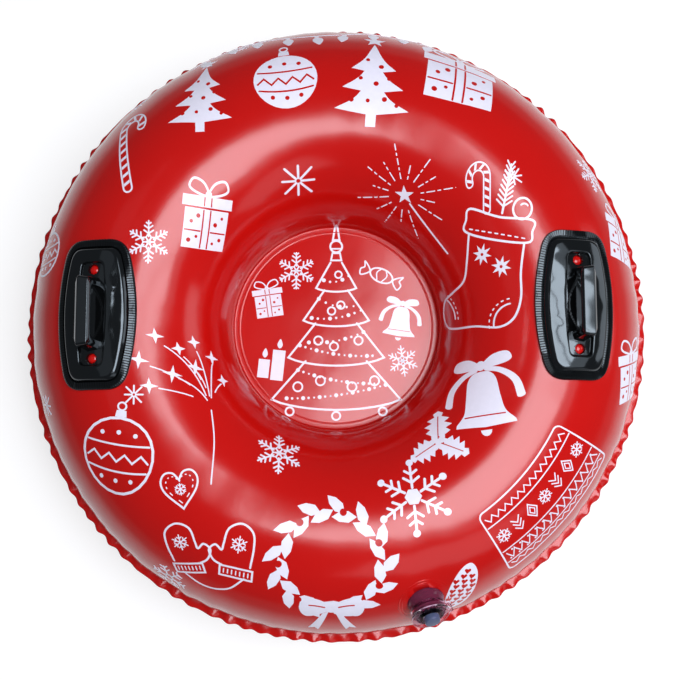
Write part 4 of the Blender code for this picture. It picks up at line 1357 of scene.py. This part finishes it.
def add_node(tree, kind, settings=None, links=None, to=()):
    """Adds a node with its attributes and sockets, its inputs linked, and its first output to (node, key)."""
    node = tree.nodes.new(kind)
    for key, value in (settings or {}).items():
        if isinstance(key, int) or key in node.inputs:
            node.inputs[key].default_value = value
        else:
            setattr(node, key, value)
    for key, output in (links or {}).items():
        tree.links.new(output, node.inputs[key])
    if to:
        tree.links.new(node.outputs[0], to[0].inputs[to[1]])
    return node


RED = "red_calendered_vinyl"
INK = "white_screen_ink"
MOULDED = "black_moulded_pvc"
GRIP = "black_moulded_pvc_grip"
CLEAR = "clear_moulded_vinyl"
TINTED = "tinted_moulded_vinyl"
FROSTED_WITH_PAINTED_SHEEN = "frosted_moulded_vinyl"
HARD = "black_polypropylene"
RUBBER = "black_pressed_rubber"

# Painted reflection: a blue specular tint that stands in for the bluish light the black mouldings mirror.
PAINTED_BLUE_REFLECTION_TINT = (0.80, 0.92, 1.0, 1.0)

# For each finish its colour in the sidebar, its slot, its plain sockets, and its noises: how many millimetres
# wide their features are, their detail and distortion, and what they move. Normal holds a bump's strength and
# distance, and Roughness and Base Color hold the least and the most, of the colour as a factor of its
# brightness.
FINISHES = {
    # Calendered PVC sheet: rolled glossy, so its gloss is clear with a faint orange peel, 11 mm wide to show
    # in the render, and its colour and gloss change slowly over a hand's width.
    RED: (
        "sheet", "red_vinyl", {"Roughness": 0.16, "IOR": 1.48},
        (110, 3.0, 0.0, {"Roughness": (0.13, 0.19), "Base Color": (0.94, 1.06)}),
        (11, 2.0, 0.0, {"Normal": (0.10, 0.0006)}),
    ),
    # White screen ink: flat and slightly cool, uneven in cover over 7 mm, where the mesh prints much finer.
    INK: (
        "ink", None, {"Roughness": 0.26, "IOR": 1.5},
        (7, 3.0, 0.0, {"Base Color": (0.95, 1.04), "Normal": (0.05, 0.0003)}),
    ),
    # Injection-moulded soft PVC: near black, glossy from a polished tool, with slow flow waves, 30 mm wide,
    # that break up what it mirrors. Its gloss has a painted blue tint that stands in for the bluish light.
    MOULDED: (
        "moulding", "black_moulded_vinyl", {"Roughness": 0.075, "IOR": 1.62, "Specular Tint": PAINTED_BLUE_REFLECTION_TINT},
        (30, 0.3, 0.3, {"Roughness": (0.0525, 0.1125), "Normal": (0.55, 0.0022)}),
    ),
    # The same soft PVC on the grip, where the tool is less polished, so its gloss is softer. It has the same
    # painted blue tint in its gloss.
    GRIP: (
        "moulding", "black_moulded_vinyl", {"Roughness": 0.11, "IOR": 1.62, "Specular Tint": PAINTED_BLUE_REFLECTION_TINT},
        (30, 0.3, 0.3, {"Roughness": (0.077, 0.165), "Normal": (0.55, 0.0022)}),
    ),
    # Clear moulded soft PVC: plasticised, a little violet, glossy with slight ripples 6 mm wide.
    CLEAR: (
        "clear", "clear_vinyl", {"Roughness": 0.04, "IOR": 1.12, "Transmission Weight": 1.0},
        (6, 1.0, 0.0, {"Normal": (0.10, 0.0004)}),
    ),
    # The neck: soft PVC with a violet-red tint that scatters a part of the light, glossy from its tool.
    TINTED: (
        "neck", "clear_vinyl", {"Roughness": 0.08, "IOR": 1.36, "Transmission Weight": 0.55},
        (8, 1.0, 0.0, {"Normal": (0.10, 0.0004)}),
    ),
    # The cap's knob: the same soft PVC from an etched tool, so it scatters and looks grey. Its blue cast is a
    # painted sheen that stands in for bluish light. The etching is drawn 2.4 mm wide, many times as coarse as
    # it is, to show in the render.
    FROSTED_WITH_PAINTED_SHEEN: (
        "knob", "clear_vinyl", {"Roughness": 0.30, "IOR": 1.45, "Transmission Weight": 0.55},
        (2.4, 2.0, 0.0, {"Normal": (0.25, 0.0004)}),
    ),
    # Hard moulded polypropylene: black with a grey-green cast, satin from a tool with a 1.1 mm grain.
    HARD: (
        "insert", "black_plastic", {"Roughness": 0.32, "IOR": 1.49},
        (1.1, 2.0, 0.0, {"Normal": (0.15, 0.0002)}),
    ),
    # Pressed silicone-like rubber: dark and matte, with a bloom in spots of 1.4 mm.
    RUBBER: (
        "rubber", "soft_rubber", {"Roughness": 0.62, "IOR": 1.45},
        (1.4, 3.0, 0.0, {"Roughness": (0.5, 0.75)}),
    ),
}


def finish_called(name):
    """The finish of this name, made when a piece first asks for it. Its noises lie on Object coordinates."""
    if name in bpy.data.materials:
        return bpy.data.materials[name]
    colour, _, sockets, *noises = FINISHES[name]
    colour = tuple(getattr(colours(), colour))
    made = bpy.data.materials.new(name)
    made.use_nodes = True
    made.diffuse_color = colour
    tree = made.node_tree
    shader = tree.nodes["Principled BSDF"]
    for key, value in {"Base Color": colour, **sockets}.items():
        shader.inputs[key].default_value = value
    place = add_node(tree, "ShaderNodeTexCoord").outputs["Object"]
    for size, detail, distortion, moves in noises:
        settings = {"Scale": 1000 / size, "Detail": detail, "Distortion": distortion}
        value = add_node(tree, "ShaderNodeTexNoise", settings, {"Vector": place}).outputs["Fac"]
        for key, (least, most) in moves.items():
            goal = (shader, key)
            if key == "Normal":
                settings = {"Strength": least, "Distance": most}
                add_node(tree, "ShaderNodeBump", settings, {"Height": value}, goal)
                continue
            if key == "Base Color":
                goal = (add_node(tree, "ShaderNodeHueSaturation", {"Color": colour}, None, goal), "Value")
            add_node(tree, "ShaderNodeMapRange", {"To Min": least, "To Max": most}, {"Value": value}, goal)
    return made


# The stage

FLOOR_HALF = 6.0
FLOOR_LEVEL = -0.0003
FLOOR_FADE = {"From Min": 0.62, "From Max": 1.25, "To Min": 1.0, "To Max": 0.32}
FLOOR_GLOW = 0.66
FLOOR_WHITE = (0.40, 0.40, 0.40, 1)
AMBIENT = "EEF2FA"
AMBIENT_STRENGTH = 0.15
KEY_COLOUR = (0.91, 0.94, 1.0)
CAMERA_AIM = Vector((0.0058, -0.0190, 0.147))
CAMERA_DISTANCE = 1.8
CAMERA_ELEVATION = math.radians(83.3)
CAMERA_LENS = 62.74


def make_floor():
    """A white floor: its own light brings what the lamps leave up to plain white, and shadows stay. Both fade
    to grey far from the tube."""
    made = bpy.data.materials.new("studio_floor")
    made.use_nodes = True
    tree = made.node_tree
    tree.nodes.clear()
    rays = add_node(tree, "ShaderNodeLightPath").outputs
    own = rays["Is Camera Ray"]
    for ray in ("Is Transmission Ray", "Is Glossy Ray"):
        own = add_node(tree, "ShaderNodeMath", {"operation": "MAXIMUM"}, {0: own, 1: rays[ray]}).outputs[0]
    place = add_node(tree, "ShaderNodeTexCoord").outputs["Object"]
    squares = add_node(tree, "ShaderNodeVectorMath", {"operation": "MULTIPLY"}, {0: place, 1: place})
    square = add_node(tree, "ShaderNodeVectorMath", {"operation": "LENGTH"}, {0: squares.outputs[0]})
    far = add_node(tree, "ShaderNodeMath", {"operation": "SQRT"}, {0: square.outputs["Value"]})
    settings = {"interpolation_type": "SMOOTHSTEP", **FLOOR_FADE}
    near = add_node(tree, "ShaderNodeMapRange", settings, {"Value": far.outputs[0]}).outputs[0]
    own = add_node(tree, "ShaderNodeMath", {"operation": "MULTIPLY", 1: FLOOR_GLOW}, {0: own})
    own = add_node(tree, "ShaderNodeMath", {"operation": "MULTIPLY"}, {0: own.outputs[0], 1: near})
    glow = add_node(tree, "ShaderNodeEmission", {"Color": (1, 1, 1, 1)}, {"Strength": own.outputs[0]})
    settings = {"data_type": "RGBA", 6: (0, 0, 0, 1), 7: FLOOR_WHITE}
    white = add_node(tree, "ShaderNodeMix", settings, {0: near})
    matte = add_node(tree, "ShaderNodeBsdfDiffuse", None, {"Color": white.outputs[2]})
    both = add_node(tree, "ShaderNodeAddShader", None, {0: glow.outputs[0], 1: matte.outputs[0]})
    add_node(tree, "ShaderNodeOutputMaterial", None, {"Surface": both.outputs[0]})
    mesh = bpy.data.meshes.new("floor")
    corners = box(-FLOOR_HALF, -FLOOR_HALF, FLOOR_HALF, FLOOR_HALF)
    mesh.from_pydata([(*corner, FLOOR_LEVEL) for corner in corners], [], [(0, 1, 2, 3)])
    mesh.materials.append(made)
    floor = bpy.data.objects.new("floor", mesh)
    bpy.context.scene.collection.objects.link(floor)


def make_world():
    """A dim even fill from all round."""
    world = bpy.data.worlds.new("studio")
    bpy.context.scene.world = world
    world.use_nodes = True
    tree = world.node_tree
    tree.nodes.clear()
    fill = add_node(tree, "ShaderNodeBackground", {"Color": linear(AMBIENT), "Strength": AMBIENT_STRENGTH})
    add_node(tree, "ShaderNodeOutputWorld", None, {"Surface": fill.outputs[0]})


def add_softbox(name, place, size, power, upward=(0.0, 1.0, 0.0), shift=0.0):
    """A rectangular lamp that faces the tube's middle, its own Y near to upward, moved along it by shift."""
    light = bpy.data.lights.new(name, "AREA")
    light.shape = "RECTANGLE"
    light.size, light.size_y = size
    light.energy = power
    light.color = KEY_COLOUR
    obj = bpy.data.objects.new(name, light)
    bpy.context.scene.collection.objects.link(obj)
    back = (Vector(place) - Vector((0.0, 0.0, TOP_MIDDLE))).normalized()
    side = Vector(upward).cross(back).normalized()
    turn = Matrix((side, back.cross(side), back)).transposed()
    obj.matrix_world = Matrix.Translation(Vector(place) + turn @ Vector((0.0, shift, 0.0))) @ turn.to_4x4()


def make_camera():
    """The photograph's view: almost straight down, from the front."""
    camera = bpy.data.cameras.new("camera")
    camera.lens = CAMERA_LENS
    camera.sensor_width = 36.0
    obj = bpy.data.objects.new("camera", camera)
    bpy.context.scene.collection.objects.link(obj)
    back = Vector((0.0, -math.cos(CAMERA_ELEVATION), math.sin(CAMERA_ELEVATION)))
    obj.location = CAMERA_AIM + back * CAMERA_DISTANCE
    obj.rotation_euler = (-back).to_track_quat("-Z", "Y").to_euler()
    bpy.context.scene.camera = obj


def make_lamps():
    """A large key from the upper right, its halo, and small fills."""
    key, slant = (1.13, -0.20, 4.0), (0.5, 0.865, 0.0)
    add_softbox("key_softbox_upper", key, (2.5, 0.67), 40, slant, 0.915)
    add_softbox("key_softbox_lower", key, (2.5, 1.75), 104, slant, -0.375)
    add_softbox("key_halo", (1.5, -0.3, 4.3), (4.0, 3.8), 58, slant)
    add_softbox("front_strip", (1.25, -2.3, 2.0), (2.4, 1.0), 8)
    add_softbox("side_panel", (3.2, 0.6, 1.1), (1.2, 1.6), 12)
    add_softbox("small_window", (-1.15, 0.67, 4.0), (0.24, 0.11), 0.9)
    add_softbox("left_fill", (-1.9, 0.5, 3.6), (1.2, 2.4), 2)


# Operators, one for each piece or group of like pieces


class TUBE_OT_sheets(bpy.types.Operator):
    """Make the top and bottom sheets"""

    bl_idname = "tube.sheets"
    bl_label = "Sheets"

    def execute(self, context):
        make_top_skin()
        make_bottom_skin()
        return {"FINISHED"}


class TUBE_OT_seam(bpy.types.Operator):
    """Make the ruffled flange of the seam round the ring"""

    bl_idname = "tube.seam"
    bl_label = "Seam flange"

    def execute(self, context):
        make_flange()
        return {"FINISHED"}


class TUBE_OT_handles(bpy.types.Operator):
    """Make the two moulded grab handles, with the skin that shows in their peep holes"""

    bl_idname = "tube.handles"
    bl_label = "Handles"

    def execute(self, context):
        make_handle("handle_right", 0.0, 0.0135, 0.20)
        make_handle("handle_left", math.pi, 0.0, -0.10)
        return {"FINISHED"}


class TUBE_OT_valve(bpy.types.Operator):
    """Make the valve's neck, the rings of its weld and the cap's leash"""

    bl_idname = "tube.valve"
    bl_label = "Valve neck and leash"

    def execute(self, context):
        valve = valve_matrix()
        make_neck(valve)
        make_weld_rings(valve)
        make_leash(valve)
        return {"FINISHED"}


class TUBE_OT_insert(bpy.types.Operator):
    """Make the valve's screw-in insert, its gasket and its one-way flap"""

    bl_idname = "tube.insert"
    bl_label = "Insert, gasket and flap"

    def execute(self, context):
        valve = valve_matrix()
        make_insert(valve)
        make_gasket(valve)
        make_flap(valve)
        return {"FINISHED"}


class TUBE_OT_cap(bpy.types.Operator):
    """Make the valve's cap with its knob"""

    bl_idname = "tube.cap"
    bl_label = "Cap"

    def execute(self, context):
        make_cap(valve_matrix())
        return {"FINISHED"}


class TUBE_OT_ornaments(bpy.types.Operator):
    """Lay the printed ornaments on the top sheet"""

    bl_idname = "tube.ornaments"
    bl_label = "Print"

    def execute(self, context):
        make_all_print()
        return {"FINISHED"}


class TUBE_OT_stage(bpy.types.Operator):
    """Set up the floor, the lamps, the fill and the camera"""

    bl_idname = "tube.stage"
    bl_label = "Stage"

    def execute(self, context):
        make_floor()
        make_world()
        make_camera()
        make_lamps()
        context.scene.view_settings.view_transform = "Standard"
        return {"FINISHED"}


OPERATORS = (
    TUBE_OT_sheets,
    TUBE_OT_seam,
    TUBE_OT_handles,
    TUBE_OT_valve,
    TUBE_OT_insert,
    TUBE_OT_cap,
    TUBE_OT_ornaments,
    TUBE_OT_stage,
)


class TUBE_PT_sidebar(bpy.types.Panel):
    """Sizes, colours and the pieces in their order"""

    bl_idname = "TUBE_PT_sidebar"
    bl_label = "Snow tube"
    bl_space_type = "VIEW_3D"
    bl_region_type = "UI"
    bl_category = "Snow tube"

    def draw(self, context):
        for title, group in (("Sizes", context.scene.tube_sizes), ("Colours", context.scene.tube_colours)):
            box = self.layout.box()
            box.label(text=title)
            for name in type(group).__annotations__:
                box.prop(group, name)
        column = self.layout.column()
        for operator in OPERATORS:
            column.operator(operator.bl_idname)


CLASSES = (TubeSizes, TubeColours, *OPERATORS, TUBE_PT_sidebar)


def register():
    for made in CLASSES:
        bpy.utils.register_class(made)
    bpy.types.Scene.tube_sizes = bpy.props.PointerProperty(type=TubeSizes)
    bpy.types.Scene.tube_colours = bpy.props.PointerProperty(type=TubeColours)


def unregister():
    del bpy.types.Scene.tube_colours
    del bpy.types.Scene.tube_sizes
    for made in reversed(CLASSES):
        bpy.utils.unregister_class(made)


def main():
    """Registers the classes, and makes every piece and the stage."""
    register()
    for operator in OPERATORS:
        name = operator.bl_idname.split(".")[1]
        if getattr(bpy.ops.tube, name)() != {"FINISHED"}:
            raise RuntimeError(f"{operator.bl_label} was left unfinished")


if __name__ == "__main__":
    main()
